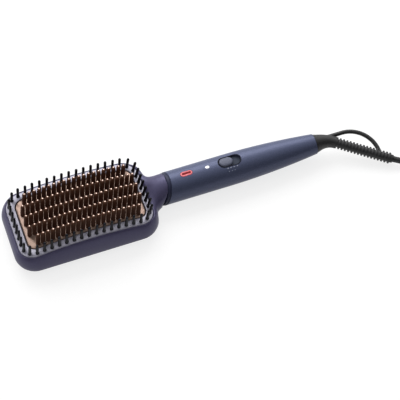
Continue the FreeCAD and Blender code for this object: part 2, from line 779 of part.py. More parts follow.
# Circuit board and what stands on it
board_top = board_bottom + board_thickness
circuit_board = centered_box(board_x, 0, board_bottom, board_length, board_width, board_thickness)
write("circuit_board", circuit_board)
write("capacitor", Part.makeCylinder(capacitor_radius, capacitor_height, Vector(capacitor_x, 0, board_top)))
write("triac", centered_box(triac_x, 0, board_top, triac_length, triac_width, triac_height))
write("lamp_chip", centered_box(lamp_x, 0, board_top, lamp_chip_size, lamp_chip_size, lamp_chip_height))
lamp_lens = stadium_prism(lamp_x, board_top + lamp_chip_height, skin_top + cut_overrun, lamp_length, lamp_width)
write("lamp_lens", lamp_lens.common(handle_round(0)))
red_mark = stadium_prism(mark_x, axis_height, skin_top + cut_overrun, mark_length, mark_width)
write("red_mark", red_mark.common(handle_round(0)).cut(handle_round(mark_depth - press_gap)))

# Slide switch: body on the board, lever and knob that travel together, and the track plate under the slot
switch_top = board_top + switch_body_height
knob_x = slot_x - switch_travel / 2
lever_slot_length = lever_length + switch_travel + 2 * lever_gap
lever_slot_width = lever_width + 2 * lever_gap
lever_slot_x = slot_x - lever_offset
switch_body = centered_box(lever_slot_x, 0, board_top, switch_body_length, switch_body_width, switch_body_height)
lever_bottom = switch_top - lever_depth
lever_slot = centered_box(lever_slot_x, 0, lever_bottom - lever_gap, lever_slot_length, lever_slot_width,
                          switch_body_height)
write("switch_body", switch_body.cut(lever_slot))
track_bottom = handle_ceiling_height - track_thickness
track = centered_box(slot_x, 0, track_bottom, track_length, track_width, track_thickness)
track_slot = centered_box(lever_slot_x, 0, track_bottom - cut_overrun, lever_slot_length, lever_slot_width,
                          track_thickness + 2 * cut_overrun)
write("switch_track", track.cut(track_slot))
knob_bottom = handle_ceiling_height + knob_floor_gap
lever = centered_box(knob_x - lever_offset, 0, lever_bottom, lever_length, lever_width, knob_bottom - lever_bottom)
write("switch_lever", lever)
knob = stadium_prism(knob_x, knob_bottom, skin_top + cut_overrun + knob_rise, knob_length,
                     slot_width - 2 * knob_side_gap)
write("switch_knob", knob.common(handle_round(-knob_rise)))


# Strain relief: a flange inside the handle, a tapered sleeve, a ribbed tail and a loop to hang the brush by
def arc_between(start, corner, end):
    """Arc that leaves one leg of a corner and meets the other at equal distances from it."""
    chord_middle = (start + end) * 0.5
    half_chord = (end - start).Length / 2
    depth = (corner - chord_middle).Length
    turn = math.atan2(depth, half_chord)
    crest = chord_middle + (corner - chord_middle) * (half_chord * math.tan(turn / 2) / depth)
    return Part.Arc(start, crest, end).toShape()


def ring_wire(center, axis_a, axis_b, radius):
    """Circle made of two half turns that start on the same side."""
    right = center + axis_a * radius
    left = center - axis_a * radius
    return Part.Wire([Part.Arc(right, center + axis_b * radius, left).toShape(),
                      Part.Arc(left, center - axis_b * radius, right).toShape()])


relief_start = Vector(brush_end_x + relief_gap, 0, axis_height)
relief_corner = Vector(brush_end_x + relief_corner_run, 0, axis_height)
relief_reach = Vector(relief_reach_along, -relief_reach_side, -relief_drop)
relief_end = relief_corner + relief_reach
relief_heading = Vector(relief_reach).normalize()
loop_side = Vector(0, -relief_reach.y, -relief_reach.z).normalize()
relief_normal = along.cross(loop_side)
bend_in = relief_corner - along * relief_bend_run
bend_out = relief_corner + relief_heading * relief_bend_run
relief_path = [Part.LineSegment(relief_start, bend_in).toShape(), arc_between(bend_in, relief_corner, bend_out),
               Part.LineSegment(bend_out, relief_end).toShape()]


def relief_frame(distance):
    """Point and heading at a distance along the middle line of the strain relief."""
    for edge in relief_path:
        if distance <= edge.Length or edge is relief_path[-1]:
            place = edge.getParameterByLength(min(distance, edge.Length))
            return edge.valueAt(place), edge.tangentAt(place)
        distance -= edge.Length


sleeve_rings = []
for length_share, taper_share in sleeve_section_shares:
    center, heading = relief_frame(length_share * sleeve_length)
    radius = sleeve_end_radius + taper_share * (sleeve_start_radius - sleeve_end_radius)
    sleeve_rings.append(ring_wire(center, relief_normal.cross(heading), relief_normal, radius))
strain_relief = Part.makeLoft(sleeve_rings, True, False)
flange_front_x = inner_cord_end_x + relief_flange_length
strain_relief = strain_relief.fuse(turned(
    [(0, inner_cord_end_x), (relief_flange_radius, inner_cord_end_x), (relief_flange_radius, flange_front_x),
     (relief_waist_radius, flange_front_x), (relief_waist_radius, relief_start.x), (0, relief_start.x)],
    axis_origin, along))
ribs_start, ribs_heading = relief_frame(sleeve_length)
ribs_length = (relief_end - ribs_start).Length
tail_pieces = [Part.makeCylinder(relief_core_radius, ribs_length, ribs_start, ribs_heading)]
for index in range(relief_rib_count):
    place = ribs_start + ribs_heading * (relief_rib_margin + index * relief_rib_pitch)
    tail_pieces.append(Part.makeCylinder(relief_rib_radius, relief_rib_width, place, ribs_heading))
spine_roll = FreeCAD.Rotation(ribs_heading, spine_roll_degrees)
spine_side = spine_roll.multVec(relief_normal.cross(ribs_heading))
spine_up = spine_roll.multVec(relief_normal)
spine_corners = [ribs_start + spine_side * (a * spine_width / 2) + spine_up * (b * spine_radius)
                 for a, b in ((1, 1), (-1, 1), (-1, -1), (1, -1))]
spine = Part.Face(Part.makePolygon(spine_corners + spine_corners[:1])).extrude(ribs_heading * ribs_length)
tail_pieces.append(spine.common(Part.makeCylinder(spine_radius, ribs_length, ribs_start, ribs_heading)))
loop_first = relief_corner - along * loop_start_run + loop_side * loop_rise
loop_turn = loop_first + along * loop_straight_run
loop_corner = loop_turn + along * loop_bend_radius
loop_back = loop_corner - loop_side * loop_bend_radius
loop_last = loop_back - loop_side * loop_end_run
loop_path = Part.Wire([Part.LineSegment(loop_first, loop_turn).toShape(),
                       arc_between(loop_turn, loop_corner, loop_back),
                       Part.LineSegment(loop_back, loop_last).toShape()])
loop_section = ring_wire(loop_first, loop_side, relief_normal, loop_radius)
tail_pieces.append(loop_path.makePipeShell([loop_section], True, False))
strain_relief = strain_relief.multiFuse(tail_pieces).removeSplitter()
write("strain_relief", strain_relief)


# Power cord: a free stretch, a coil of two layers, and a tail that ends in the plug
coil_center = Vector(coil_x, coil_y, coil_height)


def coil_point(turns):
    """Point of the coil's middle line after a number of turns, and its heading."""
    climb_end = coil_turns_per_layer + coil_climb_turns
    total = climb_end + coil_turns_per_layer
    inner_radius = coil_outer_radius - coil_pitch * coil_turns_per_layer
    if turns <= coil_turns_per_layer:
        radius, slope, rise, climb = coil_outer_radius - coil_pitch * turns, -coil_pitch, 0, 0
    elif turns >= climb_end:
        radius, slope, rise, climb = coil_outer_radius - coil_pitch * (total - turns), coil_pitch, coil_pitch, 0
    else:
        share = (turns - coil_turns_per_layer) / coil_climb_turns
        radius = inner_radius - coil_pitch * coil_climb_turns * share * (1 - share)
        slope = -coil_pitch * (1 - 2 * share)
        rise = coil_pitch * (1 - math.cos(math.pi * share)) / 2
        climb = coil_pitch * math.pi * math.sin(math.pi * share) / (2 * coil_climb_turns)
    angle = 2 * math.pi * turns - math.pi / 2
    out = Vector(math.cos(angle), math.sin(angle), 0)
    side = Vector(-math.sin(angle), math.cos(angle), 0)
    heading = out * slope + side * (2 * math.pi * radius) + up * climb
    return coil_center + out * radius + up * rise, heading.normalize()


def biarc(start, start_heading, end, end_heading):
    """Two arcs that join two points with given headings."""
    span = end - start
    both = start_heading + end_heading
    a = 2 * (1 - start_heading.dot(end_heading))
    b = 2 * span.dot(both)
    reach = (math.sqrt(b * b + 4 * a * span.dot(span)) - b) / (2 * a)
    first = start + start_heading * reach
    second = end - end_heading * reach
    middle = (first + second) * 0.5
    return [arc_between(start, first, middle), arc_between(middle, second, end)]


def tube(path, start, heading):
    """Round cord along a path that begins at a point with a heading."""
    side = heading.cross(up).normalize()
    return path.makePipeShell([ring_wire(start, side, heading.cross(side), cord_radius)], True, False)


def cord_path(points):
    """Straight runs joined by arcs as large as the shorter run at each point allows."""
    edges = []
    here = points[0]
    for before, corner, after in zip(points, points[1:], points[2:]):
        shorter = min((corner - before).Length, (after - corner).Length)
        reach = cord_reach_share * shorter
        leave = corner - (corner - before).normalize() * reach
        meet = corner + (after - corner).normalize() * reach
        edges.append(Part.LineSegment(here, leave).toShape())
        edges.append(arc_between(leave, corner, meet))
        print("cord bend radius", round(edges[-1].Curve.Radius, 1))
        here = meet
    edges.append(Part.LineSegment(here, points[-1]).toShape())
    return Part.Wire(edges)


def write_tube(name, path, start, heading):
    solid = tube(path, start, heading)
    write(name, solid)
    print(name, "length", round(path.Length, 1), "volume over section times length",
          round(solid.Volume / (math.pi * cord_radius ** 2 * path.Length), 4))
    return path.Length


coil_turns = 2 * coil_turns_per_layer + coil_climb_turns
coil_in, coil_in_heading = coil_point(0)
coil_out, coil_out_heading = coil_point(coil_turns)
coil_start = coil_in - coil_in_heading * coil_end_run
coil_end = coil_out + coil_out_heading * coil_end_run
free_points = [relief_end, relief_end + relief_heading * cord_first_run, cord_middle_point,
               coil_start - coil_in_heading * cord_last_run, coil_start]
cord_length = write_tube("power_cord", cord_path(free_points), relief_end, relief_heading)
quarters = round(4 * coil_turns)
coil_edges = [Part.LineSegment(coil_start, coil_in).toShape()]
for quarter in range(quarters):
    coil_edges += biarc(*coil_point(quarter / 4), *coil_point((quarter + 1) / 4))
coil_edges.append(Part.LineSegment(coil_out, coil_end).toShape())
cord_length += write_tube("cord_coil", Part.Wire(coil_edges), coil_start, coil_in_heading)
tail_route = [coil_end, coil_end + coil_out_heading * tail_first_run] + tail_points
cord_length += write_tube("cord_tail", cord_path(tail_route), coil_end, coil_out_heading)
sample_count = round(coil_turns * coil_samples_per_turn) + 1
samples = [coil_point(index / coil_samples_per_turn)[0] for index in range(sample_count)]
half_turn = coil_samples_per_turn // 2
least = min((a - b).Length for i, a in enumerate(samples) for b in samples[i + half_turn:])
print("cord length", round(cord_length, 1))
print("least gap of the coil to itself", round(least - 2 * cord_radius, 2))

# Tie round the turns of the coil, on the side away from its ends
bundle_inner = (coil_point(coil_turns / 2)[0] - coil_center).y - cord_radius - tie_gap
bundle_outer = (coil_point(coil_climb_turns)[0] - coil_center).y + cord_radius + tie_gap
bundle_bottom = coil_center.z - cord_radius - tie_gap
bundle_top = coil_center.z + coil_pitch + cord_radius + tie_gap
tie_middle = Vector(coil_center.x - tie_width / 2, coil_center.y + (bundle_inner + bundle_outer) / 2,
                    (bundle_bottom + bundle_top) / 2)
tie_half_y = (bundle_outer - bundle_inner) / 2
tie_half_z = (bundle_top - bundle_bottom) / 2
tie_outside = rounded_loop(tie_middle, across, up, tie_half_y + tie_thickness, tie_half_z + tie_thickness,
                           tie_corner_radius + tie_thickness)
tie_inside = rounded_loop(tie_middle, across, up, tie_half_y, tie_half_z, tie_corner_radius)
tie_bore = Part.Face(tie_inside).extrude(along * tie_width)
write("cord_tie", Part.Face(tie_outside).extrude(along * tie_width).cut(tie_bore))

# Flat mains plug with two round pins, lying beside the coil
plug_start = tail_points[-1]
plug_wires = [
    rounded_loop(plug_start + across * (length_share * plug_length), along, up, width_share * plug_half_width,
                 thickness_share * plug_half_thickness,
                 plug_corner_share * thickness_share * plug_half_thickness)
    for length_share, width_share, thickness_share in plug_section_shares
]
plug_nose = Part.makeCylinder(plug_nose_radius, plug_nose_length, plug_start, across)
write("plug_body", Part.makeLoft(plug_wires, True, False).fuse(plug_nose).removeSplitter())
plug_face = plug_start + across * plug_length
write("plug_pins", [
    turned([(0, 0), (plug_pin_radius, 0), (plug_pin_radius, plug_pin_length - plug_pin_round),
            (plug_pin_radius - plug_pin_round, plug_pin_length), (0, plug_pin_length)],
           plug_face + along * (side * plug_pin_spacing / 2), across)
    for side in (-1, 1)
])
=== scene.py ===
import math

import bmesh
import bpy
import numpy as np
from mathutils import Matrix, Vector


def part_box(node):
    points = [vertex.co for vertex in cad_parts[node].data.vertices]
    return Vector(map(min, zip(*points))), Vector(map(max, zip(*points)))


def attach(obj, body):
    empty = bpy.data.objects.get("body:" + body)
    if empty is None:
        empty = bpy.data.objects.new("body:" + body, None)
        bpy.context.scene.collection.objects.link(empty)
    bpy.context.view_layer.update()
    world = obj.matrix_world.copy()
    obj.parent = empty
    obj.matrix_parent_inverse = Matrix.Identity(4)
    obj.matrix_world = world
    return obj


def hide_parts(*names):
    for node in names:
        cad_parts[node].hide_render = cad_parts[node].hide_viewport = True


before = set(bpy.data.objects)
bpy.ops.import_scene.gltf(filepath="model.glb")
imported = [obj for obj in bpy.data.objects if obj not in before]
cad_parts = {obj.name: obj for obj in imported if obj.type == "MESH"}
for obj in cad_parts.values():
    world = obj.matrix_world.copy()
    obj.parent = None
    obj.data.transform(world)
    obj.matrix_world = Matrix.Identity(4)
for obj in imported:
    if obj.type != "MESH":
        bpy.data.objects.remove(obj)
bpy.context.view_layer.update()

# Studio: the brush lies on its back on a white table of painted board and is seen through a long lens.
# A broad softbox hangs behind it and a weak one stands in front; the surround is bright above and behind.
# The table keeps a faint shadow under the brush.
mm = 0.001
photo_width = 400
focal_pixels = 1400
camera_place = Vector((-0.21066, -0.68682, 1.1225))
camera_azimuth = math.radians(-19.76)
camera_elevation = math.radians(57.5)
table_half_width = 4.0
table_drop = 0.3 * mm
table_glow = 0.78
surround_brightest_heading = (0.05, 0.7, 0.71)
surround_strengths = (0.06, 0.9)


def linked(name, data):
    """New object in the scene."""
    made = bpy.data.objects.new(name, data)
    bpy.context.scene.collection.objects.link(made)
    return made


def linear(code):
    """Linear colour of an sRGB hex value."""
    shares = [int(code[place:place + 2], 16) / 255 for place in (1, 3, 5)]
    return [s / 12.92 if s <= 0.04045 else ((s + 0.055) / 1.055) ** 2.4 for s in shares] + [1.0]


def add_node(tree, kind, settings={}, links={}):
    """One node, with its properties and socket values and the sockets that feed it."""
    added = tree.nodes.new(kind)
    for name, value in settings.items():
        if isinstance(name, str) and hasattr(added, name):
            setattr(added, name, value)
        else:
            added.inputs[name].default_value = value
    for name, source in links.items():
        tree.links.new(source, added.inputs[name])
    return added


def new_finish(name):
    """Plain material and its tree."""
    made = bpy.data.materials.new(name)
    made.use_nodes = True
    return made, made.node_tree


def set_shader(tree, links, constants):
    """Feeds the sockets of a material's shader and sets those that are the same all over."""
    shader = tree.nodes["Principled BSDF"]
    for socket, source in links.items():
        tree.links.new(source, shader.inputs[socket])
    for socket, value in constants.items():
        shader.inputs[socket].default_value = value


def new_piece(name, points, faces, material):
    """Smooth mesh object at the origin."""
    mesh = bpy.data.meshes.new(name)
    mesh.from_pydata([tuple(point) for point in points], [], faces)
    work = bmesh.new()
    work.from_mesh(mesh)
    bmesh.ops.remove_doubles(work, verts=work.verts, dist=0.0001 * mm)
    bmesh.ops.recalc_face_normals(work, faces=work.faces)
    work.to_mesh(mesh)
    work.free()
    mesh.shade_smooth()
    mesh.materials.append(material)
    return linked(name, mesh)


def softbox(name, place, size, watts, target=(0, 0, 0.02)):
    """Rectangular lamp that faces the brush."""
    lamp = bpy.data.lights.new(name, "AREA")
    lamp.shape = "RECTANGLE"
    lamp.size, lamp.size_y = size
    lamp.energy = watts
    facing = (Vector(target) - Vector(place)).to_track_quat("-Z", "Y").to_matrix().to_4x4()
    linked(name, lamp).matrix_world = Matrix.Translation(Vector(place)) @ facing


camera_back = Vector((math.sin(camera_azimuth) * math.cos(camera_elevation),
                      -math.cos(camera_azimuth) * math.cos(camera_elevation), math.sin(camera_elevation)))
camera_right = Vector((math.cos(camera_azimuth), math.sin(camera_azimuth), 0))
camera_turn = Matrix((camera_right, camera_back.cross(camera_right), camera_back)).transposed().to_4x4()
lens = bpy.data.cameras.new("long_lens")
lens.sensor_fit = "HORIZONTAL"
lens.sensor_width = 36
lens.lens = lens.sensor_width * focal_pixels / photo_width
camera = linked("camera", lens)
camera.matrix_world = Matrix.Translation(camera_place) @ camera_turn
bpy.context.scene.camera = camera
bpy.context.scene.view_settings.view_transform = "Standard"

# Matt paint: grey to the light that falls on it, and lit for the eye, so that it shows as white.
table_board, tree = new_finish("painted_table_board")
path = add_node(tree, "ShaderNodeLightPath")
seen = path.outputs["Is Camera Ray"]
for ray in ("Is Glossy Ray", "Is Transmission Ray"):
    either = add_node(tree, "ShaderNodeMath", {"operation": "MAXIMUM"}, {0: seen, 1: path.outputs[ray]})
    seen = either.outputs[0]
glow = add_node(tree, "ShaderNodeMath", {"operation": "MULTIPLY", 1: table_glow}, {0: seen})
set_shader(tree, {"Emission Strength": glow.outputs[0]},
           {"Base Color": linear("#8c8c8c"), "Roughness": 0.9, "Specular IOR Level": 0.1,
            "Emission Color": linear("#ffffff")})
corners = [(x * table_half_width, y * table_half_width, -table_drop)
           for x, y in ((-1, -1), (1, -1), (1, 1), (-1, 1))]
table = new_piece("table", corners, [(0, 1, 2, 3)], table_board)

softbox("back_softbox", place=(0.1, 0.9, 0.9), size=(1.6, 0.9), watts=17)
softbox("front_softbox", place=(-0.5, -1.3, 0.45), size=(0.8, 0.4), watts=1.8)
surround = bpy.data.worlds.new("bright_surround")
surround.use_nodes = True
bpy.context.scene.world = surround
tree = surround.node_tree
heading = add_node(tree, "ShaderNodeTexCoord")
towards = add_node(tree, "ShaderNodeVectorMath", {"operation": "DOT_PRODUCT", 1: surround_brightest_heading},
                   {0: heading.outputs["Generated"]})
strength = add_node(tree, "ShaderNodeMapRange",
                    {"interpolation_type": "SMOOTHSTEP", "From Min": -0.1, "From Max": 1.0,
                     "To Min": surround_strengths[0], "To Max": surround_strengths[1]},
                    {"Value": towards.outputs["Value"]})
tree.nodes["Background"].inputs["Color"].default_value = linear("#ffffff")
tree.links.new(strength.outputs[0], tree.nodes["Background"].inputs["Strength"])

# Head housing and back cover: two ABS mouldings, parted under the widest line and screwed together,
# sprayed with a satin navy lacquer that has a fine pearl in it. The rim and the neck are softly rounded.
# They are smoothed copies of the solids, because the solids have hard edges at the rim and the neck.
head_x = -82.9 * mm
head_end_x = -13.3 * mm
head_half_length = 69.6 * mm
head_half_width = 40.8 * mm
head_corner = 20 * mm
rim_top = 28.5 * mm
rim_inset = 3.2 * mm
widest_height = 9.4 * mm
pocket_inset = 6 * mm
pocket_shift = 1.05 * mm
pocket_overlap = 0.5 * mm
band_drop = 0.75 * mm
arc_reach = 7 * mm
arc_shoulder = math.radians(60)
arc_end = math.radians(69)
crown_radius = 340 * mm
crest_sharpness = 6
least_reach = 1e-9
even_pull = 0.5
axis_height = 15.4 * mm
# Ranges over which a change of shape fades in or out.
arc_fade = (head_end_x - 14 * mm, head_end_x - 8 * mm)
arc_beside_neck = (28 * mm, 36 * mm)
pocket_fade = (17.5 * mm, 19.5 * mm)
band_drop_fade = (0.7, 1)
outline_fade = (-1 * mm, -0.2 * mm)
neck_start_fade = (head_end_x - 5.4 * mm, head_end_x - 3.4 * mm)
neck_end_fade = (-1.5 * mm, 6 * mm)
neck_side_fade = (29 * mm, 36 * mm)
neck_bore_fade = (7 * mm, 9 * mm)
neck_low_fade = (8 * mm, 10 * mm)


def satin_lacquer(name, dark, light):
    """Lacquer with flakes in two tones, gloss in soft clouds and a faint orange peel from the spray."""
    made, tree = new_finish(name)
    place = add_node(tree, "ShaderNodeTexCoord").outputs["Object"]
    # Pearl flakes of about 0.25 mm, drawn at 0.6 mm so that they still show in the render.
    pearl = add_node(tree, "ShaderNodeTexVoronoi", {"Scale": 1 / (0.6 * mm)}, {"Vector": place})
    flake = add_node(tree, "ShaderNodeSeparateColor", {}, {0: pearl.outputs["Color"]})
    tone = add_node(tree, "ShaderNodeMix", {"data_type": "RGBA", 6: linear(dark), 7: linear(light)},
                    {0: flake.outputs[0]})
    cloud = add_node(tree, "ShaderNodeTexNoise", {"Scale": 1 / (25 * mm), "Detail": 3.0}, {"Vector": place})
    gloss = add_node(tree, "ShaderNodeMapRange", {"To Min": 0.36, "To Max": 0.44},
                     {"Value": cloud.outputs[0]})
    peel = add_node(tree, "ShaderNodeTexNoise", {"Scale": 1 / (0.9 * mm), "Detail": 2.0}, {"Vector": place})
    skin = add_node(tree, "ShaderNodeBump", {"Strength": 0.25, "Distance": 0.02 * mm},
                    {"Height": peel.outputs[0]})
    set_shader(tree,
               {"Base Color": tone.outputs[2], "Roughness": gloss.outputs[0], "Normal": skin.outputs[0]},
               {"Metallic": 0.15, "Specular IOR Level": 0.55, "Specular Tint": linear("#c6c9e6")})
    return made


def merged_copy(name, node):
    """New object with a CAD node's shape, its loose triangles joined."""
    work = bmesh.new()
    work.from_mesh(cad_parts[node].data)
    bmesh.ops.remove_doubles(work, verts=work.verts, dist=0.002 * mm)
    mesh = bpy.data.meshes.new(name)
    work.to_mesh(mesh)
    work.free()
    return linked(name, mesh)


def evened(piece, voxel, material):
    """Gives a closed piece one even mesh."""
    rough = piece.data
    even = piece.modifiers.new("even", "REMESH")
    even.mode = "VOXEL"
    even.voxel_size = voxel
    depsgraph = bpy.context.evaluated_depsgraph_get()
    piece.data = bpy.data.meshes.new_from_object(piece.evaluated_get(depsgraph))
    piece.modifiers.remove(even)
    bpy.data.meshes.remove(rough)
    piece.data.materials.clear()
    piece.data.materials.append(material)
    return piece


def vertex_points(mesh):
    """Places of a mesh's vertices, one row each."""
    points = np.empty(len(mesh.vertices) * 3, np.float64)
    mesh.vertices.foreach_get("co", points)
    return points.reshape(-1, 3)


def relaxed(piece, weights, rounds):
    """Draws each vertex towards the middle of its neighbours, by its weight, a number of times."""
    mesh = piece.data
    points = vertex_points(mesh)
    count = len(points)
    edges = np.empty(len(mesh.edges) * 2, np.int64)
    mesh.edges.foreach_get("vertices", edges)
    one, two = edges.reshape(-1, 2).T
    links = np.bincount(one, minlength=count) + np.bincount(two, minlength=count)
    pull = (weights(points) if callable(weights) else np.full(count, weights))[:, None]
    for step in range(rounds):
        total = np.empty_like(points)
        for axis in range(3):
            total[:, axis] = (np.bincount(one, points[two, axis], count)
                              + np.bincount(two, points[one, axis], count))
        points += pull * (total / links[:, None] - points)
    mesh.vertices.foreach_set("co", points.reshape(-1))
    mesh.update()
    mesh.shade_smooth()


def ramp(values, low, high):
    """Smooth step from 0 to 1 between two values."""
    share = np.clip((values - low) / (high - low), 0, 1)
    return share * share * (3 - 2 * share)


def head_inset(points):
    """Distance inside the head's widest outline, seen from above."""
    reach_x = np.abs(points[:, 0] - head_x) - (head_half_length - head_corner)
    reach_y = np.abs(points[:, 1]) - (head_half_width - head_corner)
    outside = np.hypot(np.maximum(reach_x, 0), np.maximum(reach_y, 0))
    return head_corner - outside - np.minimum(np.maximum(reach_x, reach_y), 0)


def crowned(x, top):
    """Height along the head of an arched surface that is highest in the middle."""
    return top - crown_radius + np.sqrt(crown_radius ** 2 - (x - head_x) ** 2)


def rim_shaped(piece):
    """Makes the wall an arc from the widest line to the band's edge and moves the pocket's side out.

    The arc fades out where the neck leaves the head.
    """
    points = vertex_points(piece.data)
    x, y, z = points.T
    inset = head_inset(points)
    top = crowned(x, rim_top)
    up = np.clip((z - widest_height) / (top - widest_height), 0, 1)
    wall = np.clip(inset, 0, rim_inset * up)
    across = np.clip((inset - wall) / (pocket_inset - wall), 0, 1)
    free = 1 - ramp(x, *arc_fade) * (1 - ramp(np.abs(y), *arc_beside_neck))
    arc_height = (top - band_drop - widest_height) / math.sin(arc_end)
    turn = np.arcsin(up * math.sin(arc_shoulder))
    outer_inset = free * arc_reach * (1 - np.cos(turn)) + (1 - free) * wall
    outer_z = free * (widest_height + arc_height * np.sin(turn)) + (1 - free) * z
    inner_inset = pocket_inset - pocket_shift * ramp(z, *pocket_fade)
    inner_z = z - band_drop * ramp(up, *band_drop_fade)
    crest = arc_shoulder + (arc_end - arc_shoulder) * across
    shoulder = arc_reach * (1 - math.cos(arc_shoulder))
    edge = arc_reach * (1 - math.cos(arc_end))
    crest_inset = arc_reach * (1 - np.cos(crest)) - (1 - across) * shoulder - across * edge
    crest_level = (1 - across) * math.sin(arc_shoulder) + across * math.sin(arc_end)
    crest_z = arc_height * (np.sin(crest) - crest_level)
    near_crest = free * up ** crest_sharpness
    new_inset = (1 - across) * outer_inset + across * inner_inset + near_crest * crest_inset
    new_z = (1 - across) * outer_z + across * inner_z + near_crest * crest_z
    ring = (inset < pocket_inset + pocket_overlap) & (z > widest_height)
    inward = np.where(ring, new_inset - ((1 - across) * wall + across * pocket_inset), 0)
    inward *= ramp(inset, *outline_fade)
    out_x = np.maximum(np.abs(x - head_x) - (head_half_length - head_corner), 0) * np.sign(x - head_x)
    out_y = np.maximum(np.abs(y) - (head_half_width - head_corner), 0) * np.sign(y)
    out = np.maximum(np.hypot(out_x, out_y), least_reach)
    moved = np.stack([x - inward * out_x / out, y - inward * out_y / out, np.where(ring, new_z, z)], 1)
    piece.data.vertices.foreach_set("co", moved.reshape(-1))
    piece.data.update()


def neck_weight(points):
    """Strongest where the neck leaves the head, outside the pocket."""
    x, y, z = points.T
    along = ramp(x, *neck_start_fade) * ramp(-x, *neck_end_fade)
    beside = 1 - ramp(np.abs(y), *neck_side_fade)
    bore = ramp(np.hypot(y, z - axis_height), *neck_bore_fade)
    return even_pull * along * beside * bore * ramp(z, *neck_low_fade)


satin_navy = satin_lacquer("satin_navy_lacquer", "#494561", "#504c68")
head_shell = evened(merged_copy("head_shell", "head_housing"), voxel=0.7 * mm, material=satin_navy)
relaxed(head_shell, neck_weight, rounds=90)
rim_shaped(head_shell)
relaxed(head_shell, even_pull, rounds=2)
back_shell = evened(merged_copy("head_back_shell", "head_back_cover"), voxel=0.8 * mm, material=satin_navy)
relaxed(back_shell, even_pull, rounds=3)
for shell, node in ((head_shell, "head_housing"), (back_shell, "head_back_cover")):
    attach(shell, "brush")
    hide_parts(node)

# Screws of the housings: steel with pan heads, rolled and zinc plated, so their tone is slightly cloudy.
# They hold the shells, the heater clamp and the cord grip.


def grained(name, dark, light, grain, rough, detail=3.0, fine=None, fine_gloss=False, relief=0.25, depth=None,
            metallic=0.0, ior=1.5, specular=0.5):
    """Finish whose tone, gloss and relief follow a grain of a given size in metres.

    The relief, and the gloss if asked, may follow a finer grain, given as its size and detail.
    """
    made, tree = new_finish(name)
    place = add_node(tree, "ShaderNodeTexCoord").outputs["Object"]
    coarse = add_node(tree, "ShaderNodeTexNoise", {"Scale": 1 / grain, "Detail": detail}, {"Vector": place})
    small = coarse
    if fine:
        small = add_node(tree, "ShaderNodeTexNoise", {"Scale": 1 / fine[0], "Detail": fine[1]},
                         {"Vector": place})
    tone = add_node(tree, "ShaderNodeMix", {"data_type": "RGBA", 6: linear(dark), 7: linear(light)},
                    {0: coarse.outputs[0]})
    gloss = add_node(tree, "ShaderNodeMapRange", {"To Min": rough[0], "To Max": rough[1]},
                     {"Value": (small if fine_gloss else coarse).outputs[0]})
    links = {"Base Color": tone.outputs[2], "Roughness": gloss.outputs[0]}
    if relief:
        skin = add_node(tree, "ShaderNodeBump", {"Strength": relief, "Distance": depth or 0.05 * grain},
                        {"Height": small.outputs[0]})
        links["Normal"] = skin.outputs[0]
    set_shader(tree, links, {"Metallic": metallic, "IOR": ior, "Specular IOR Level": specular})
    return made


def dress(material, *nodes):
    """Puts a finish on CAD nodes that keep their shape."""
    for node in nodes:
        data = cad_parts[node].data
        data.materials.clear()
        data.materials.append(material)


zinc_steel = grained("zinc_plated_steel", "#9a9ca0", "#c4c6c9", 0.8 * mm, (0.25, 0.42), relief=0, detail=4.0,
                     metallic=1.0)
dress(zinc_steel, "head_screws", "handle_screws", "clamp_screws", "cord_grip_screws")

# Ring band round the plate: an ABS moulding in satin lavender grey that stands in the pocket of the head,
# crowned like the rim, with softened edges and a socket for each outer bristle.
plate_x = -81.75 * mm
plate_half_length = 56.25 * mm
plate_half_width = 27.3 * mm
plate_corner = 7.5 * mm
band_inset = 5.2 * mm
band_gap = 0.9 * mm
band_top = 28.3 * mm
band_edge_lift = 0.2 * mm
band_slope = 0.15 * mm
band_round = 0.7 * mm
band_round_turn = math.radians(30)
carrier_top = 19.5 * mm
# Spark-eroded mould texture, about 0.15 mm in life and drawn at 0.5 mm, over the slow flow of the melt.
lavender_abs = grained("satin_lavender_abs", "#908e9f", "#9c9aaa", 18 * mm, (0.32, 0.46), detail=2.0,
                       fine=(0.5 * mm, 3.0), fine_gloss=True, relief=0.3, depth=0.03 * mm, metallic=0.2,
                       specular=0.9)


def rounded_outline(center_x, half_x, half_y, radius, corner_steps, side_steps):
    """Points and outward directions round a rounded rectangle, counter-clockwise from the near left."""
    sides = ((-1, -1), (1, -1), (1, 1), (-1, 1))
    middles = [(center_x + across * (half_x - radius), up * (half_y - radius)) for across, up in sides]
    points = []
    for quarter, (x, y) in enumerate(middles):
        for step in range(corner_steps + 1):
            turn = math.pi + (quarter + step / corner_steps) * math.pi / 2
            out_x, out_y = math.cos(turn), math.sin(turn)
            points.append((x + radius * out_x, y + radius * out_y, out_x, out_y))
        next_x, next_y = middles[(quarter + 1) % 4]
        for step in range(1, side_steps):
            share = step / side_steps
            points.append((x + share * (next_x - x) + radius * out_x,
                           y + share * (next_y - y) + radius * out_y, out_x, out_y))
    return points


def ring_skin(rings, closed=False):
    """Points and faces of a skin over rings of vertices, joined last to first or capped at both ends."""
    count = len(rings[0])
    faces = []
    for lower in range(len(rings) if closed else len(rings) - 1):
        upper = (lower + 1) % len(rings)
        for step in range(count):
            after = (step + 1) % count
            faces.append((lower * count + step, lower * count + after,
                          upper * count + after, upper * count + step))
    if not closed:
        faces += [tuple(range(count)), tuple(range((len(rings) - 1) * count, len(rings) * count))]
    return [point for ring in rings for point in ring], faces


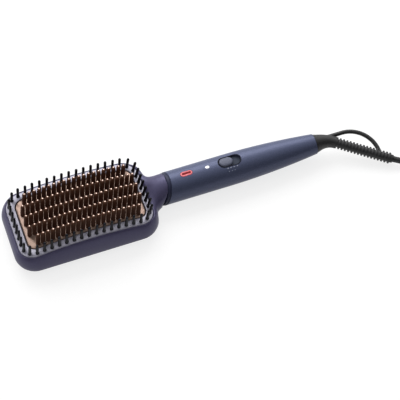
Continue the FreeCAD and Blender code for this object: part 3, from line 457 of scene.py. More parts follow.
outer_line = rounded_outline(head_x, head_half_length - band_inset, head_half_width - band_inset,
                             head_corner - band_inset, corner_steps=12, side_steps=28)
inner_line = rounded_outline(plate_x, plate_half_length + band_gap, plate_half_width + band_gap,
                             plate_corner + band_gap, corner_steps=12, side_steps=28)
band_rings = [[(x, y, carrier_top) for x, y, out_x, out_y in outer_line]]
for line, side, lift, turns in ((outer_line, -1, band_edge_lift - band_drop, (0, 1, 2, 3)),
                                (inner_line, 1, band_slope, (3, 2, 1, 0))):
    for turn in turns:
        inward = side * band_round * (1 - math.cos(turn * band_round_turn))
        drop = band_round * (1 - math.sin(turn * band_round_turn))
        band_rings.append([(x + inward * out_x, y + inward * out_y, crowned(x, band_top) - drop + lift)
                           for x, y, out_x, out_y in line])
band_rings.append([(x, y, carrier_top) for x, y, out_x, out_y in inner_line])
ring_band = new_piece("ring_band", *ring_skin(band_rings, closed=True), lavender_abs)
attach(ring_band, "brush")
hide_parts("bristle_ring")

# Outer bristles: fifty black nylon pegs with a wide foot and a round tip, moulded and pressed into the band.
# They keep the hot pins off the scalp. They follow the band at even steps and lean a little to the handle,
# most of all beside the neck.
bristle_count = 50
bristle_sides = 8
bristle_line_inset = 8.45 * mm
bristle_leans = (0.09, 0.25)
bristle_lean_range = (-32 * mm, -22 * mm)
bristle_scatter = 0.02
bristle_seed = 7
# Radius and height over the band in millimetres.
bristle_profile = [(1.8, -1.4), (1.8, 0.75), (1.45, 1.5), (1.35, 7.0), (1.4, 11.6), (1.1, 12.4), (0.5, 12.85)]
# Moulded nylon, smooth, with soft streaks where it flowed.
black_nylon = grained("black_moulded_nylon", "#0a0a12", "#14141f", 1.2 * mm, (0.3, 0.45), relief=0, ior=1.53,
                      specular=0.2)


def turned_piece(name, profile, sides, material):
    """Closed round piece about +Z from (radius, height) pairs in millimetres."""
    turns = [2 * math.pi * side / sides for side in range(sides)]
    rings = [[(radius * mm * math.cos(turn), radius * mm * math.sin(turn), height * mm) for turn in turns]
             for radius, height in profile]
    return new_piece(name, *ring_skin(rings), material)


def new_tree(name, **kinds):
    """Geometry node tree with named inputs, its input node, and the inputs' identifiers by name."""
    tree = bpy.data.node_groups.new(name, "GeometryNodeTree")
    names = {}
    for title, kind in kinds.items():
        socket = tree.interface.new_socket(name=title, in_out="INPUT", socket_type="NodeSocket" + kind)
        names[title] = socket.identifier
    tree.interface.new_socket(name="Pieces", in_out="OUTPUT", socket_type="NodeSocketGeometry")
    return tree, add_node(tree, "NodeGroupInput").outputs, names


def planted(tree, points, pattern, stance, material):
    """Ends a tree with the pattern object on every point, as plain mesh in its finish."""
    shape = add_node(tree, "GeometryNodeObjectInfo", {}, {"Object": pattern})
    placed = add_node(tree, "GeometryNodeInstanceOnPoints", {},
                      {"Points": points, "Instance": shape.outputs["Geometry"], "Rotation": stance})
    solid = add_node(tree, "GeometryNodeRealizeInstances", {}, {0: placed.outputs[0]})
    dressed = add_node(tree, "GeometryNodeSetMaterial", {"Material": material},
                       {"Geometry": solid.outputs[0]})
    add_node(tree, "NodeGroupOutput", {}, {0: dressed.outputs[0]})


def grown(name, base, tree, names, values, spare):
    """Plain mesh object from a base mesh and a tree's input values; the spare pattern object goes."""
    holder = linked(name + "_base", base)
    modifier = holder.modifiers.new(name, "NODES")
    modifier.node_group = tree
    for title, value in values.items():
        modifier[names[title]] = value
    depsgraph = bpy.context.evaluated_depsgraph_get()
    mesh = bpy.data.meshes.new_from_object(holder.evaluated_get(depsgraph))
    mesh.name = name
    holder.modifiers.remove(modifier)
    bpy.data.objects.remove(holder)
    bpy.data.objects.remove(spare)
    return linked(name, mesh)


bristle_line = rounded_outline(head_x, head_half_length - bristle_line_inset,
                               head_half_width - bristle_line_inset, head_corner - bristle_line_inset,
                               corner_steps=24, side_steps=60)
near_middle = min(range(len(bristle_line)),
                  key=lambda index: abs(bristle_line[index][0] - head_x) + bristle_line[index][1])
bristle_line = bristle_line[near_middle:] + bristle_line[:near_middle]
line_mesh = bpy.data.meshes.new("bristle_line")
line_mesh.from_pydata([(x, y, crowned(x, band_top)) for x, y, out_x, out_y in bristle_line],
                      [(step, (step + 1) % len(bristle_line)) for step in range(len(bristle_line))], [])
bristle = turned_piece("bristle", bristle_profile, bristle_sides, black_nylon)
tree, given, names = new_tree("bristle_row", Line="Geometry", Count="Int", Bristle="Object")
curve = add_node(tree, "GeometryNodeMeshToCurve", {}, {"Mesh": given["Line"]})
steps = add_node(tree, "GeometryNodeResampleCurve", {}, {"Curve": curve.outputs[0], "Count": given["Count"]})
spot = add_node(tree, "GeometryNodeInputPosition")
axes = add_node(tree, "ShaderNodeSeparateXYZ", {}, {0: spot.outputs[0]})
splay = add_node(tree, "ShaderNodeMapRange",
                 {"From Min": bristle_lean_range[0], "From Max": bristle_lean_range[1],
                  "To Min": bristle_leans[0], "To Max": bristle_leans[1]}, {"Value": axes.outputs["X"]})
lean = add_node(tree, "ShaderNodeCombineXYZ", {}, {"Y": splay.outputs[0]})
twist = add_node(tree, "FunctionNodeRandomValue",
                 {"data_type": "FLOAT_VECTOR", 0: (-bristle_scatter, -bristle_scatter, 0),
                  1: (bristle_scatter, bristle_scatter, 0), "Seed": bristle_seed})
stance = add_node(tree, "ShaderNodeVectorMath", {"operation": "ADD"},
                  {0: lean.outputs[0], 1: twist.outputs[0]})
planted(tree, steps.outputs[0], given["Bristle"], stance.outputs[0], black_nylon)
bristles = grown("nylon_bristles", line_mesh, tree, names,
                 {"Count": bristle_count, "Bristle": bristle}, bristle)
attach(bristles, "brush")
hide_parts("outer_bristles")

# Heated plate: die-cast aluminium with a rose-gold ceramic coat, crowned along the head, nearly flat across,
# flush with the band and softened at its edge.
# The coat is fired on over a blasted surface, so it has a fine satin grain.
plate_side_radius = 1300 * mm
plate_round = 0.6 * mm
plate_round_turn = math.radians(22.5)
plate_ring_insets = (2.5, 5, 8, 11.5, 15, 19, 23, 27.2)
plate_least_corner = 0.02 * mm
# Blasted grain of some 0.1 mm, drawn at 0.4 mm.
rose_coat = grained("rose_ceramic_coat_on_aluminium", "#957a6c", "#a2887a", 0.4 * mm, (0.24, 0.36),
                    relief=0.2, depth=0.02 * mm, metallic=0.4)


def plate_crown(x, y):
    """Height of the plate's top."""
    return crowned(x, band_top) - plate_side_radius + math.sqrt(plate_side_radius ** 2 - y ** 2)


edge_line = rounded_outline(plate_x, plate_half_length, plate_half_width, plate_corner,
                            corner_steps=12, side_steps=28)
plate_rings = [[(x, y, carrier_top) for x, y, out_x, out_y in edge_line]]
for turn in range(5):
    inward = plate_round * (1 - math.cos(turn * plate_round_turn))
    drop = plate_round * (1 - math.sin(turn * plate_round_turn))
    line = [(x - inward * out_x, y - inward * out_y) for x, y, out_x, out_y in edge_line]
    plate_rings.append([(x, y, plate_crown(x, y) - drop) for x, y in line])
for inset in plate_ring_insets:
    line = rounded_outline(plate_x, plate_half_length - inset * mm, plate_half_width - inset * mm,
                           max(plate_corner - inset * mm, plate_least_corner), corner_steps=12, side_steps=28)
    plate_rings.append([(x, y, plate_crown(x, y)) for x, y, out_x, out_y in line])
hot_plate = new_piece("hot_plate", *ring_skin(plate_rings), rose_coat)
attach(hot_plate, "brush")
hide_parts("heater_plate")

# Heated pins: drawn metal with a dark bronze ceramic coat, polished, pressed into the plate in five rows.
# The outer rows have no pin at the corners, and all lean a little to the handle.
pin_columns = 23
pin_rows = 5
pin_pitch_along = 4.8 * mm
pin_pitch_across = 11.5 * mm
pin_field_x = -81 * mm
pin_lean = 0.1
pin_sides = 10
# Height over which a pin's tip carries the painted highlight.
pin_highlight_height = 15.15 * mm
ray_start_height = 60 * mm
ray_length = 1.0
corner_share = 0.49
# Radius and height over the plate in millimetres.
pin_profile = [(2.2, -0.5), (2.2, 0.0), (2.14, 6.8), (2.0, 12.8), (1.75, 13.9), (1.35, 14.7), (0.8, 15.1),
               (0.35, 15.2)]

bronze_coat, tree = new_finish("polished_bronze_ceramic")
place = add_node(tree, "ShaderNodeTexCoord").outputs["Object"]
# The fired glaze is cloudy over some 2.5 mm.
fired = add_node(tree, "ShaderNodeTexNoise", {"Scale": 1 / (2.5 * mm), "Detail": 3.0}, {"Vector": place})
tone = add_node(tree, "ShaderNodeMix", {"data_type": "RGBA", 6: linear("#5a3d31"), 7: linear("#6a4a3c")},
                {0: fired.outputs[0]})
gloss = add_node(tree, "ShaderNodeMapRange", {"To Min": 0.18, "To Max": 0.3}, {"Value": fired.outputs[0]})
# Each tip is drawn as pale metal, a painted highlight; the attribute is 1 on a pin's crown and 0 below.
painted_tip_highlight = add_node(tree, "ShaderNodeAttribute", {"attribute_name": "painted_tip_highlight"})
tip_highlighted_tone = add_node(tree, "ShaderNodeMix", {"data_type": "RGBA", 7: linear("#c9b4a8")},
                {0: painted_tip_highlight.outputs["Fac"], 6: tone.outputs[2]})
set_shader(tree,
           {"Base Color": tip_highlighted_tone.outputs[2], "Roughness": gloss.outputs[0], "Metallic": painted_tip_highlight.outputs["Fac"]},
           {"Specular IOR Level": 0.05})

pin = turned_piece("pin", pin_profile, pin_sides, bronze_coat)
# The crown over that height is marked for the painted highlight.
crown = pin.data.attributes.new("painted_tip_highlight", "FLOAT", "POINT")
for vertex in pin.data.vertices:
    crown.data[vertex.index].value = 1.0 if vertex.co.z > pin_highlight_height else 0.0
tree, given, names = new_tree("pin_field", Plate="Object", Pin="Object", Columns="Int", Rows="Int",
                              Length="Float", Width="Float", Middle="Vector")
field = add_node(tree, "GeometryNodeMeshGrid", {},
                 {"Size X": given["Length"], "Size Y": given["Width"],
                  "Vertices X": given["Columns"], "Vertices Y": given["Rows"]})
over = add_node(tree, "GeometryNodeSetPosition", {},
                {"Geometry": field.outputs[0], "Offset": given["Middle"]})
spot = add_node(tree, "GeometryNodeInputPosition")
plate_shape = add_node(tree, "GeometryNodeObjectInfo", {}, {"Object": given["Plate"]})
hit = add_node(tree, "GeometryNodeRaycast", {"Ray Direction": (0, 0, -1), "Ray Length": ray_length},
               {"Target Geometry": plate_shape.outputs["Geometry"], "Source Position": spot.outputs[0]})
seated = add_node(tree, "GeometryNodeSetPosition", {},
                  {"Geometry": over.outputs[0], "Position": hit.outputs["Hit Position"]})
axes = add_node(tree, "ShaderNodeSeparateXYZ", {}, {0: spot.outputs[0]})
middle = add_node(tree, "ShaderNodeSeparateXYZ", {}, {0: given["Middle"]})
ends = []
for axis, extent in (("X", "Length"), ("Y", "Width")):
    from_middle = add_node(tree, "ShaderNodeMath", {"operation": "SUBTRACT"},
                           {0: axes.outputs[axis], 1: middle.outputs[axis]})
    away = add_node(tree, "ShaderNodeMath", {"operation": "ABSOLUTE"}, {0: from_middle.outputs[0]})
    limit = add_node(tree, "ShaderNodeMath", {"operation": "MULTIPLY", 1: corner_share}, {0: given[extent]})
    ends.append(add_node(tree, "ShaderNodeMath", {"operation": "GREATER_THAN"},
                         {0: away.outputs[0], 1: limit.outputs[0]}).outputs[0])
corner = add_node(tree, "ShaderNodeMath", {"operation": "MULTIPLY"}, {0: ends[0], 1: ends[1]})
kept = add_node(tree, "GeometryNodeDeleteGeometry", {},
                {"Geometry": seated.outputs[0], "Selection": corner.outputs[0]})
stance = add_node(tree, "ShaderNodeCombineXYZ", {"Y": pin_lean})
planted(tree, kept.outputs[0], given["Pin"], stance.outputs[0], bronze_coat)
pins = grown("bronze_pins", bpy.data.meshes.new("pin_field"), tree, names, {
    "Plate": hot_plate, "Pin": pin, "Columns": pin_columns, "Rows": pin_rows,
    "Length": (pin_columns - 1) * pin_pitch_along, "Width": (pin_rows - 1) * pin_pitch_across,
    "Middle": (pin_field_x, 0, ray_start_height)}, pin)
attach(pins, "brush")
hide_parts("heated_pins")

# Heater stack under the plate: a nylon carrier, two ceramic heaters, a mica sheet and a sprung steel clamp,
# with a thermal fuse, a sensor in a steel can and silicone leads. Screws press it to the plate.
# None of it shows when the brush is closed.

# Glass-filled nylon: matt, with a cloudy surface of fibres some 0.6 mm long.
glass_nylon = grained("glass_filled_nylon", "#2b2c30", "#3a3b40", 0.6 * mm, (0.5, 0.7), ior=1.53)
# Fired alumina: chalky white with a fine grain.
alumina = grained("fired_alumina", "#d8d4cb", "#ece9e2", 0.5 * mm, (0.55, 0.75), ior=1.76)
# Mica paper: pale amber flakes pressed into a sheet.
mica_paper = grained("pressed_mica", "#a9854f", "#cdb07a", 1.5 * mm, (0.3, 0.5), ior=1.58)
# Spring steel strip: rolled, so its gloss wanders.
spring_steel = grained("rolled_spring_steel", "#8c8d90", "#b2b3b6", 2.0 * mm, (0.25, 0.4), metallic=1.0)
# Tinned can of the fuse and the sensor: drawn, with soft clouds in the tin.
tinned_can = grained("tinned_steel_can", "#a8a69f", "#cac8c1", 1.0 * mm, (0.22, 0.38), metallic=1.0)
# Silicone-covered wires: soft, even and slightly dusty.
red_silicone = grained("red_silicone_wire", "#9c1f1f", "#b52a28", 0.8 * mm, (0.45, 0.6), ior=1.41)
brown_silicone = grained("brown_silicone_wire", "#4a2c1c", "#5d3a27", 0.8 * mm, (0.45, 0.6), ior=1.41)
dress(glass_nylon, "plate_carrier", "cord_grip", "switch_body", "switch_lever")
dress(alumina, "ceramic_heaters")
dress(mica_paper, "mica_sheet")
dress(spring_steel, "heater_clamp")
dress(tinned_can, "thermal_fuse", "heat_sensor")
dress(red_silicone, "heater_leads")
dress(brown_silicone, "mains_leads")

# Collar: a dark navy ABS ring between neck and handle, cut aslant, with a spigot that keys the two together.
# It is moulded with a fine matt grain, stands a little back from both skins, and its edges are soft.
collar_start_x = -3.4 * mm
collar_lean = math.tan(math.radians(21.5))
collar_sides = 96
# Radius, distance along the handle in millimetres, and whether that edge leans with the seam.
collar_profile = [(5.0, 0.0, True), (14.2, 0.0, True), (14.75, 0.15, True), (15.0, 0.55, True),
                  (15.0, 3.05, True), (14.75, 3.45, True), (14.2, 3.6, True), (11.0, 3.6, True),
                  (11.0, 13.6, False), (5.0, 13.6, False)]
# Moulded ABS with a spark-eroded grain, drawn at 0.4 mm.
collar_abs = grained("dark_grained_abs", "#26293f", "#2f324b", 0.4 * mm, (0.42, 0.56), ior=1.54, specular=0.2)
collar_rings = []
for radius, along, leans in collar_profile:
    ring = []
    for side in range(collar_sides):
        turn = 2 * math.pi * side / collar_sides
        lean = collar_lean * radius * math.cos(turn) if leans else 0
        ring.append((collar_start_x + (along + lean) * mm, radius * mm * math.sin(turn),
                     axis_height + radius * mm * math.cos(turn)))
    collar_rings.append(ring)
collar = new_piece("aslant_collar", *ring_skin(collar_rings, closed=True), collar_abs)
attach(collar, "brush")
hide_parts("collar_ring")

# Handle: two ABS half shells, tapered to the cord end and screwed together from below.
# They are sprayed with the head's satin lacquer; this copy is drawn a little bluer and lighter, a painted
# difference of light between handle and head.
handle_navy_painted_lighter = satin_lacquer("satin_navy_lacquer_painted_lighter", "#484f67", "#515771")
dress(handle_navy_painted_lighter, "handle_front_shell", "handle_rear_shell")

# Control board in the handle: glass-epoxy laminate that lies on ribs of the lower shell.
# A film capacitor, a triac and a lamp chip are soldered on it.
board_lacquer, tree = new_finish("green_lacquered_board")
place = add_node(tree, "ShaderNodeTexCoord").outputs["Object"]
# Green lacquer over copper tracks 4 mm apart, which show as paler lines.
tracks = add_node(tree, "ShaderNodeTexBrick",
                  {"Scale": 1 / (4 * mm), "Mortar Size": 0.15, "Color1": linear("#1d5a35"),
                   "Color2": linear("#22643c"), "Mortar": linear("#3d8a58")}, {"Vector": place})
gloss = add_node(tree, "ShaderNodeMapRange", {"To Min": 0.25, "To Max": 0.4},
                 {"Value": tracks.outputs["Fac"]})
set_shader(tree, {"Base Color": tracks.outputs["Color"], "Roughness": gloss.outputs[0]}, {})
# Epoxy housings of the parts on the board: dark, with a fine moulded grain.
epoxy = grained("moulded_black_epoxy", "#121214", "#1f1f22", 0.4 * mm, (0.4, 0.6), ior=1.55)
dress(board_lacquer, "circuit_board")
dress(epoxy, "capacitor", "triac", "lamp_chip")

# Slide switch: a grey ABS knob, an oval pad that follows the round of the handle, over a dark slot floor.
# The knob snaps on a lever and slides 7 mm towards the cord.
# A thin near-black ring round the mouth of the slot is painted shadow of the slot's edge.
handle_radius = 15.4 * mm
knob_x = 62 * mm
knob_length = 13.6 * mm
knob_width = 9.8 * mm
knob_bottom = 28.1 * mm
slot_x = 65.5 * mm
slot_half_length = 11 * mm
slot_half_width = 5.3 * mm
oval_corner_share = 0.999
# Inset from the oval's edge and height over the handle's skin, in millimetres; the first is the foot.
knob_edge = [(0, -0.9), (0.12, -0.3), (0.45, 0.2), (1.0, 0.5), (1.7, 0.6), (3.0, 0.58), (4.0, 0.55),
             (4.85, 0.55)]
# Painted shadow ring: distance out from the slot's edge and height over the skin, in millimetres.
slot_shadow_section = [(0.65, -0.3), (0.65, 0.02), (0.35, 0.05), (0.0, 0.02), (0.0, -0.6)]


def oval_ring(middle_x, half_length, half_width, lift):
    """Oval line at a height over the round top of the handle."""
    line = rounded_outline(middle_x, half_length, half_width, half_width * oval_corner_share,
                           corner_steps=10, side_steps=4)
    return [(x, y, axis_height + math.sqrt((handle_radius + lift * mm) ** 2 - y * y))
            for x, y, out_x, out_y in line]


def oval_pad(name, middle_x, length, width, bottom, edge, material):
    """Closed oval piece set in the top of the handle."""
    rings = [oval_ring(middle_x, length / 2 - inset * mm, width / 2 - inset * mm, lift)
             for inset, lift in edge]
    foot = [(x, y, bottom) for x, y, z in rings[0]]
    return new_piece(name, *ring_skin([foot] + rings), material)


# Moulded ABS, matt, with wear that shows as slightly smoother patches.
grey_abs = grained("grey_moulded_abs", "#54586a", "#606477", 1.2 * mm, (0.4, 0.55), ior=1.54, specular=0.3)
# The same in a darker batch for the slot floor, eroded to a matt grain drawn at 0.8 mm; the near-black ring,
# grained at 0.6 mm, is painted shadow round the slot's mouth.
slot_abs = grained("slot_floor_abs", "#323846", "#3e4452", 0.8 * mm, (0.45, 0.6), ior=1.54, specular=0.1)
slot_shadow_paint = grained("painted_slot_edge_shadow", "#12131e", "#1a1c29", 0.6 * mm, (0.45, 0.6), ior=1.54, specular=0.1)
dress(slot_abs, "switch_track")
# Near-black ring of painted shadow, laid on the skin round the slot's mouth.
slot_shadow_rings = [oval_ring(slot_x, slot_half_length + out * mm, slot_half_width + out * mm, lift)
               for out, lift in slot_shadow_section]
slot_bezel = new_piece("slot_bezel", *ring_skin(slot_shadow_rings, closed=True), slot_shadow_paint)
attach(slot_bezel, "brush")
knob = oval_pad("slide_knob", knob_x, knob_length, knob_width, knob_bottom, knob_edge, grey_abs)
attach(knob, "switch")
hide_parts("switch_knob")

# Lamp window: a small oval light guide of milky acrylic, moulded with a soft edge.
# It is pressed in flush with the handle and lit by the chip on the board below.
lamp_x = 43.3 * mm
lamp_length = 4 * mm
lamp_width = 3 * mm
lamp_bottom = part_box("lamp_lens")[0].z
lamp_edge = [(0, -0.3), (0.1, -0.06), (0.35, 0.02), (0.9, 0.05), (1.45, 0.05)]
# Acrylic with a milky filler: nearly white, smooth, and lit from within.
milky_acrylic = grained("milky_acrylic", "#f2f2f4", "#ffffff", 0.7 * mm, (0.2, 0.3), ior=1.49)
set_shader(milky_acrylic.node_tree, {}, {"Emission Color": linear("#ffffff"), "Emission Strength": 0.45})
lamp_window = oval_pad("lamp_window", lamp_x, lamp_length, lamp_width, lamp_bottom, lamp_edge, milky_acrylic)
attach(lamp_window, "brush")
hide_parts("lamp_lens")

# Red mark: an oval inlay of red enamel with a pale raised rim and a dark sunken middle.
# It is stamped from thin sheet, enamelled and glued in its recess.
mark_x = 22.5 * mm
mark_length = 11.8 * mm
mark_width = 5.2 * mm
mark_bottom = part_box("red_mark")[0].z
mark_edge = [(0, -0.2), (0.12, -0.03), (0.3, 0.0), (1.4, 0.0), (1.55, -0.12), (1.65, -0.25), (2.1, -0.25),
             (2.55, -0.25)]
sunken_half_length = 4.5 * mm
sunken_half_width = 1 * mm
sunken_least_height = axis_height + 14.7 * mm
# Enamel: glassy, with slow clouds in its colour; the dark middle is left matt.
rim_enamel = grained("pale_red_enamel", "#d8545d", "#e46a72", 0.9 * mm, (0.25, 0.35), ior=1.52)
deep_enamel = grained("deep_red_enamel", "#74080e", "#8a0f16", 0.9 * mm, (0.5, 0.6), ior=1.52, specular=0.15)
red_inlay = oval_pad("red_inlay", mark_x, mark_length, mark_width, mark_bottom, mark_edge, rim_enamel)
red_inlay.data.materials.append(deep_enamel)
for face in red_inlay.data.polygons:
    inside = abs(face.center.y) < sunken_half_width and abs(face.center.x - mark_x) < sunken_half_length
    face.material_index = 1 if inside and face.center.z > sunken_least_height else 0
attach(red_inlay, "brush")
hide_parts("red_mark")

# Switch marks: two rows of plain bars and dots, pad-printed in grey ink beside the slot.
# The ink lies on the lacquer as a film, drawn 0.04 mm thick so that it shows.
ink_lift = 0.04 * mm
ink_sides = 16
ink_squareness = 1.6
# Place along the handle in millimetres, turn round it in degrees, half length and half width in millimetres.
ink_marks = [(61.6 + 3.1 * step, -28, 0.95, 0.6) for step in range(4)]
ink_marks += [(62.0 + 2.9 * step, -39, 0.5, 0.5) for step in range(3)]
grey_ink = grained("grey_pad_print", "#7b7f93", "#8d91a4", 0.5 * mm, (0.5, 0.65))
ink_points, ink_faces = [], []


def add_form(points, faces, form):
    """Adds a form's points and faces to those of a larger piece."""
    faces += [tuple(index + len(points) for index in face) for face in form[1]]
    points += form[0]


for along, angle, half_length, half_width in ink_marks:
    rings = []
    for radius in (handle_radius - 2 * ink_lift, handle_radius + ink_lift):
        ring = []
        for side in range(ink_sides):
            turn = 2 * math.pi * side / ink_sides
            reach = (abs(math.cos(turn)) ** ink_squareness + abs(math.sin(turn)) ** ink_squareness) ** -0.5
            bend = math.radians(angle) + reach * half_width * mm * math.sin(turn) / handle_radius
            ring.append((along * mm + reach * half_length * mm * math.cos(turn), radius * math.sin(bend),
                         axis_height + radius * math.cos(bend)))
        rings.append(ring)
    add_form(ink_points, ink_faces, ring_skin(rings))
switch_marks = new_piece("switch_marks", ink_points, ink_faces, grey_ink)
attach(switch_marks, "brush")

# Cord: a round two-core mains lead, extruded in black PVC, 6 mm thick. It leaves the relief at the end of
# the handle, runs along the table and is wound into a coil of two layers with the plug beside it.
cord_radius = 3 * mm
relief_end = Vector((220, -36.2, 6.4)) * mm
relief_heading = Vector((54, -36.2, -9)).normalized()
coil_middle = Vector((297, -2.5, 4.5)) * mm
coil_outer_radius = 47 * mm
coil_pitch = 6.6 * mm
layer_turns = 3.25
climb_turns = 0.5
coil_turns = 2 * layer_turns + climb_turns
points_per_turn = 24
lead_in_relief = 8 * mm
lead_straight = 14.4 * mm
lead_on_table = Vector((250, -49.6, 4.6)) * mm
coil_run_in = (26 * mm, 6 * mm)
coil_run_out = (6 * mm, 25 * mm)
# From the coil to the plug, in millimetres.
plug_run = [(340.6, -43.9, 9.5), (354.8, -29.8, 7.9), (362.4, -11.4, 6.85), (362.4, 12.0, 6.85)]
in_heading = Vector((2 * math.pi * coil_outer_radius, coil_pitch, 0)).normalized()
out_heading = Vector((2 * math.pi * coil_outer_radius, -coil_pitch, 0)).normalized()
# Extrusion haze and handling marks, some 3 mm long, over a matt grain drawn at 0.5 mm.
black_pvc = grained("black_soft_pvc", "#151517", "#202022", 3 * mm, (0.42, 0.6), fine=(0.5 * mm, 2.0),
                    depth=0.03 * mm, ior=1.52)


def coil_point(turns):
    """Point of the coil's middle line after a number of turns from where it starts."""
    if turns <= layer_turns:
        radius, rise = coil_outer_radius - coil_pitch * turns, 0
    elif turns >= layer_turns + climb_turns:
        radius, rise = coil_outer_radius - coil_pitch * (coil_turns - turns), coil_pitch
    else:
        share = (turns - layer_turns) / climb_turns
        radius = coil_outer_radius - coil_pitch * (layer_turns + climb_turns * share * (1 - share))
        rise = coil_pitch * (1 - math.cos(math.pi * share)) / 2
    turn = 2 * math.pi * turns - math.pi / 2
    return coil_middle + Vector((radius * math.cos(turn), radius * math.sin(turn), rise))


coil_in = coil_point(0)
coil_out = coil_point(coil_turns)
route = [relief_end - lead_in_relief * relief_heading, relief_end + lead_straight * relief_heading,
         lead_on_table]
route += [coil_in - reach * in_heading for reach in coil_run_in]
route += [coil_point(step / points_per_turn) for step in range(round(coil_turns * points_per_turn) + 1)]
route += [coil_out + reach * out_heading for reach in coil_run_out]
route += [Vector(spot) * mm for spot in plug_run]
lead_line = bpy.data.curves.new("mains_lead", "CURVE")
lead_line.dimensions = "3D"
lead_line.bevel_depth = cord_radius
lead_line.bevel_resolution = 3
lead_line.resolution_u = 4
lead_line.use_fill_caps = True
spline = lead_line.splines.new("NURBS")
spline.points.add(len(route) - 1)
for point, spot in zip(spline.points, route):
    point.co = (*spot, 1)
spline.order_u = 3
spline.use_endpoint_u = True
lead_line.materials.append(black_pvc)
mains_lead = linked("mains_lead", lead_line)
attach(mains_lead, "brush")
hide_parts("power_cord", "cord_coil", "cord_tail")
dress(black_pvc, "inner_cord")

# Strain relief: one moulding in soft black PVC, held in the handle by a flange. A flared sleeve bends aside
# and goes over into a ribbed tail round the cord, with a smooth band along its top.
# A loop to hang the brush by spans the bend.
relief_corner = Vector((166, 0, 15.4)) * mm
relief_bend = 9 * mm
bend_steps = 12
# Place along the handle and radius in millimetres.
flange_profile = [(146.5, 7.3), (149.3, 7.3), (149.31, 6.2), (152.69, 6.2)]
sleeve_places = (152.7, 153.6, 154.5, 155.4, 156.3)
sleeve_length = 23 * mm
sleeve_radii = (9.4 * mm, 5.6 * mm)
sleeve_sides = 48
tail_radius = 3.9 * mm
tail_step = 0.01 * mm
rib_count = 16
rib_sides = 32
rib_pitch = 3.3 * mm
rib_margin = 1.5 * mm
rib_profile = [(5.2, 0.0), (5.5, 0.3), (5.5, 1.5), (5.2, 1.8)]
band_half_width = 3.8 * mm
band_radius = 5.3 * mm
band_roll = math.radians(20)
band_steps = 8
loop_radius = 2.1 * mm
loop_sides = 20
loop_turn_radius = 28 * mm
loop_turn_steps = 24
loop_root_back = 1 * mm
loop_root_aside = 2.8 * mm
loop_straight = 17.6 * mm
loop_end = 6.5 * mm
along_handle = Vector((1, 0, 0))
loop_side = Vector((0, 36.2, 9)).normalized()
relief_up = along_handle.cross(loop_side)


def tube_rings(stations, normal, sides):
    """Rings round a line given as (point, heading, radius), in order."""
    turns = [2 * math.pi * step / sides for step in range(sides)]
    rings = []
    for point, heading, radius in stations:
        side = normal.cross(heading).normalized()
        up = heading.cross(side).normalized()
        rings.append([point + radius * (math.cos(turn) * side + math.sin(turn) * up) for turn in turns])
    return rings


bend_in = relief_corner - relief_bend * along_handle
bend_out = relief_corner + relief_bend * relief_heading
sleeve_line = [(Vector((x * mm, 0, axis_height)), along_handle) for x in sleeve_places]
for step in range(bend_steps + 1):
    share = step / bend_steps
    point = (1 - share) ** 2 * bend_in + 2 * share * (1 - share) * relief_corner + share ** 2 * bend_out
    sleeve_line.append((point, ((1 - share) * along_handle + share * relief_heading).normalized()))
stations = [(Vector((x * mm, 0, axis_height)), along_handle, radius * mm) for x, radius in flange_profile]
walked = 0
previous = sleeve_line[0][0]
for point, heading in sleeve_line:
    walked += (point - previous).length
    previous = point
    taper = max(1 - walked / sleeve_length, 0) ** 2
    stations.append((point, heading, sleeve_radii[1] + taper * (sleeve_radii[0] - sleeve_radii[1])))
ribs_start = bend_out + (sleeve_length - walked) * relief_heading
stations += [(ribs_start, relief_heading, sleeve_radii[1]),
             (ribs_start + tail_step * relief_heading, relief_heading, tail_radius),
             (relief_end, relief_heading, tail_radius)]
relief_points, relief_faces = [], []
add_form(relief_points, relief_faces, ring_skin(tube_rings(stations, relief_up, sleeve_sides)))

loop_start = relief_corner - loop_root_back * along_handle + loop_root_aside * loop_side
loop_line = [(loop_start, along_handle, loop_radius),
             (loop_start + loop_straight * along_handle, along_handle, loop_radius)]
loop_middle = loop_line[1][0] - loop_turn_radius * loop_side
for step in range(1, loop_turn_steps + 1):
    turn = math.pi / 2 * step / loop_turn_steps
    out = math.sin(turn) * along_handle + math.cos(turn) * loop_side
    heading = math.cos(turn) * along_handle - math.sin(turn) * loop_side
    loop_line.append((loop_middle + loop_turn_radius * out, heading, loop_radius))
loop_line.append((loop_line[-1][0] - loop_end * loop_side, -loop_side, loop_radius))
add_form(relief_points, relief_faces, ring_skin(tube_rings(loop_line, relief_up, loop_sides)))

roll = Matrix.Rotation(band_roll, 3, relief_heading)
band_side = roll @ relief_up.cross(relief_heading).normalized()
band_up = roll @ relief_up
half_turn = math.asin(band_half_width / band_radius)
band_section = []
for middle in (math.pi / 2, 3 * math.pi / 2):
    for step in range(band_steps + 1):
        turn = middle - half_turn + 2 * half_turn * step / band_steps
        band_section.append(band_radius * (math.cos(turn) * band_side + math.sin(turn) * band_up))
add_form(relief_points, relief_faces,
         ring_skin([[end + offset for offset in band_section] for end in (ribs_start, relief_end)]))

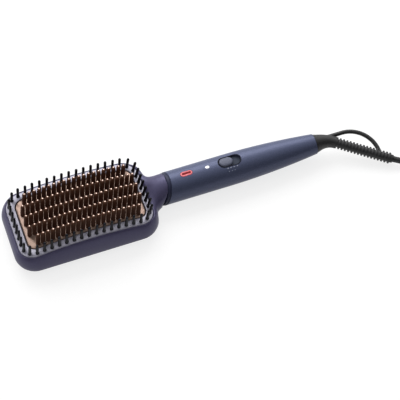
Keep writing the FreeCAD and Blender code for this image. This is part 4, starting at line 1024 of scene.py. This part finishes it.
rib = turned_piece("rib", rib_profile, rib_sides, black_pvc)
tree, given, names = new_tree("relief_ribs", Rib="Object", Count="Int", First="Vector", Step="Vector")
row = add_node(tree, "GeometryNodeMeshLine", {},
               {"Count": given["Count"], "Start Location": given["First"], "Offset": given["Step"]})
facing = add_node(tree, "FunctionNodeAlignRotationToVector", {"axis": "Z"}, {"Vector": given["Step"]})
planted(tree, row.outputs[0], given["Rib"], facing.outputs[0], black_pvc)
ribs = grown("relief_ribs", bpy.data.meshes.new("rib_row"), tree, names, {
    "Rib": rib, "Count": rib_count, "First": ribs_start + rib_margin * relief_heading,
    "Step": rib_pitch * relief_heading}, rib)
add_form(relief_points, relief_faces, ([vertex.co.copy() for vertex in ribs.data.vertices],
                                       [tuple(face.vertices) for face in ribs.data.polygons]))
bpy.data.objects.remove(ribs)
relief = new_piece("soft_relief", relief_points, relief_faces, black_pvc)
evened(relief, voxel=0.32 * mm, material=black_pvc)
relaxed(relief, even_pull, rounds=2)
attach(relief, "brush")
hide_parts("strain_relief")

# Cord tie: a band of black silicone rubber, moulded as a loop with round edges.
# It is stretched round the turns of the coil and lies on them by its own pull.
tie_middle = Vector((297, 31.7125, 7.8)) * mm
tie_half_y = 12.8875 * mm
tie_half_z = 6.7 * mm
tie_corner = 3 * mm
# Place across the band and distance out from its inner line, in millimetres.
tie_section = [(-3.0, 0.3), (-3.0, 0.7), (-2.7, 1.0), (0.0, 1.0), (2.7, 1.0), (3.0, 0.7), (3.0, 0.3),
               (2.7, 0.0), (0.0, 0.0), (-2.7, 0.0)]
tie_silicone = grained("black_silicone_band", "#161618", "#222225", 0.8 * mm, (0.5, 0.68), ior=1.41)
tie_line = rounded_outline(0, tie_half_y, tie_half_z, tie_corner, corner_steps=8, side_steps=6)
tie_rings = [[tie_middle + Vector((across * mm, y + out * mm * out_y, z + out * mm * out_z))
              for y, z, out_y, out_z in tie_line] for across, out in tie_section]
tie = new_piece("coil_tie", *ring_skin(tie_rings, closed=True), tie_silicone)
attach(tie, "brush")
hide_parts("cord_tie")

# Plug: a flat two-pin mains plug, moulded in black PVC round the end of the cord, with soft edges.
# Its pins are nickel-plated brass, turned and set in the moulding.
plug_pvc = grained("black_plug_pvc", "#18181a", "#242427", 0.6 * mm, (0.42, 0.58), ior=1.53)
nickel_brass = grained("nickel_plated_brass", "#b9b4a6", "#d3cfc2", 1.5 * mm, (0.18, 0.3), metallic=1.0)
plug = evened(merged_copy("moulded_plug", "plug_body"), voxel=0.5 * mm, material=plug_pvc)
relaxed(plug, even_pull, rounds=6)
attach(plug, "brush")
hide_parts("plug_body")
dress(nickel_brass, "plug_pins")
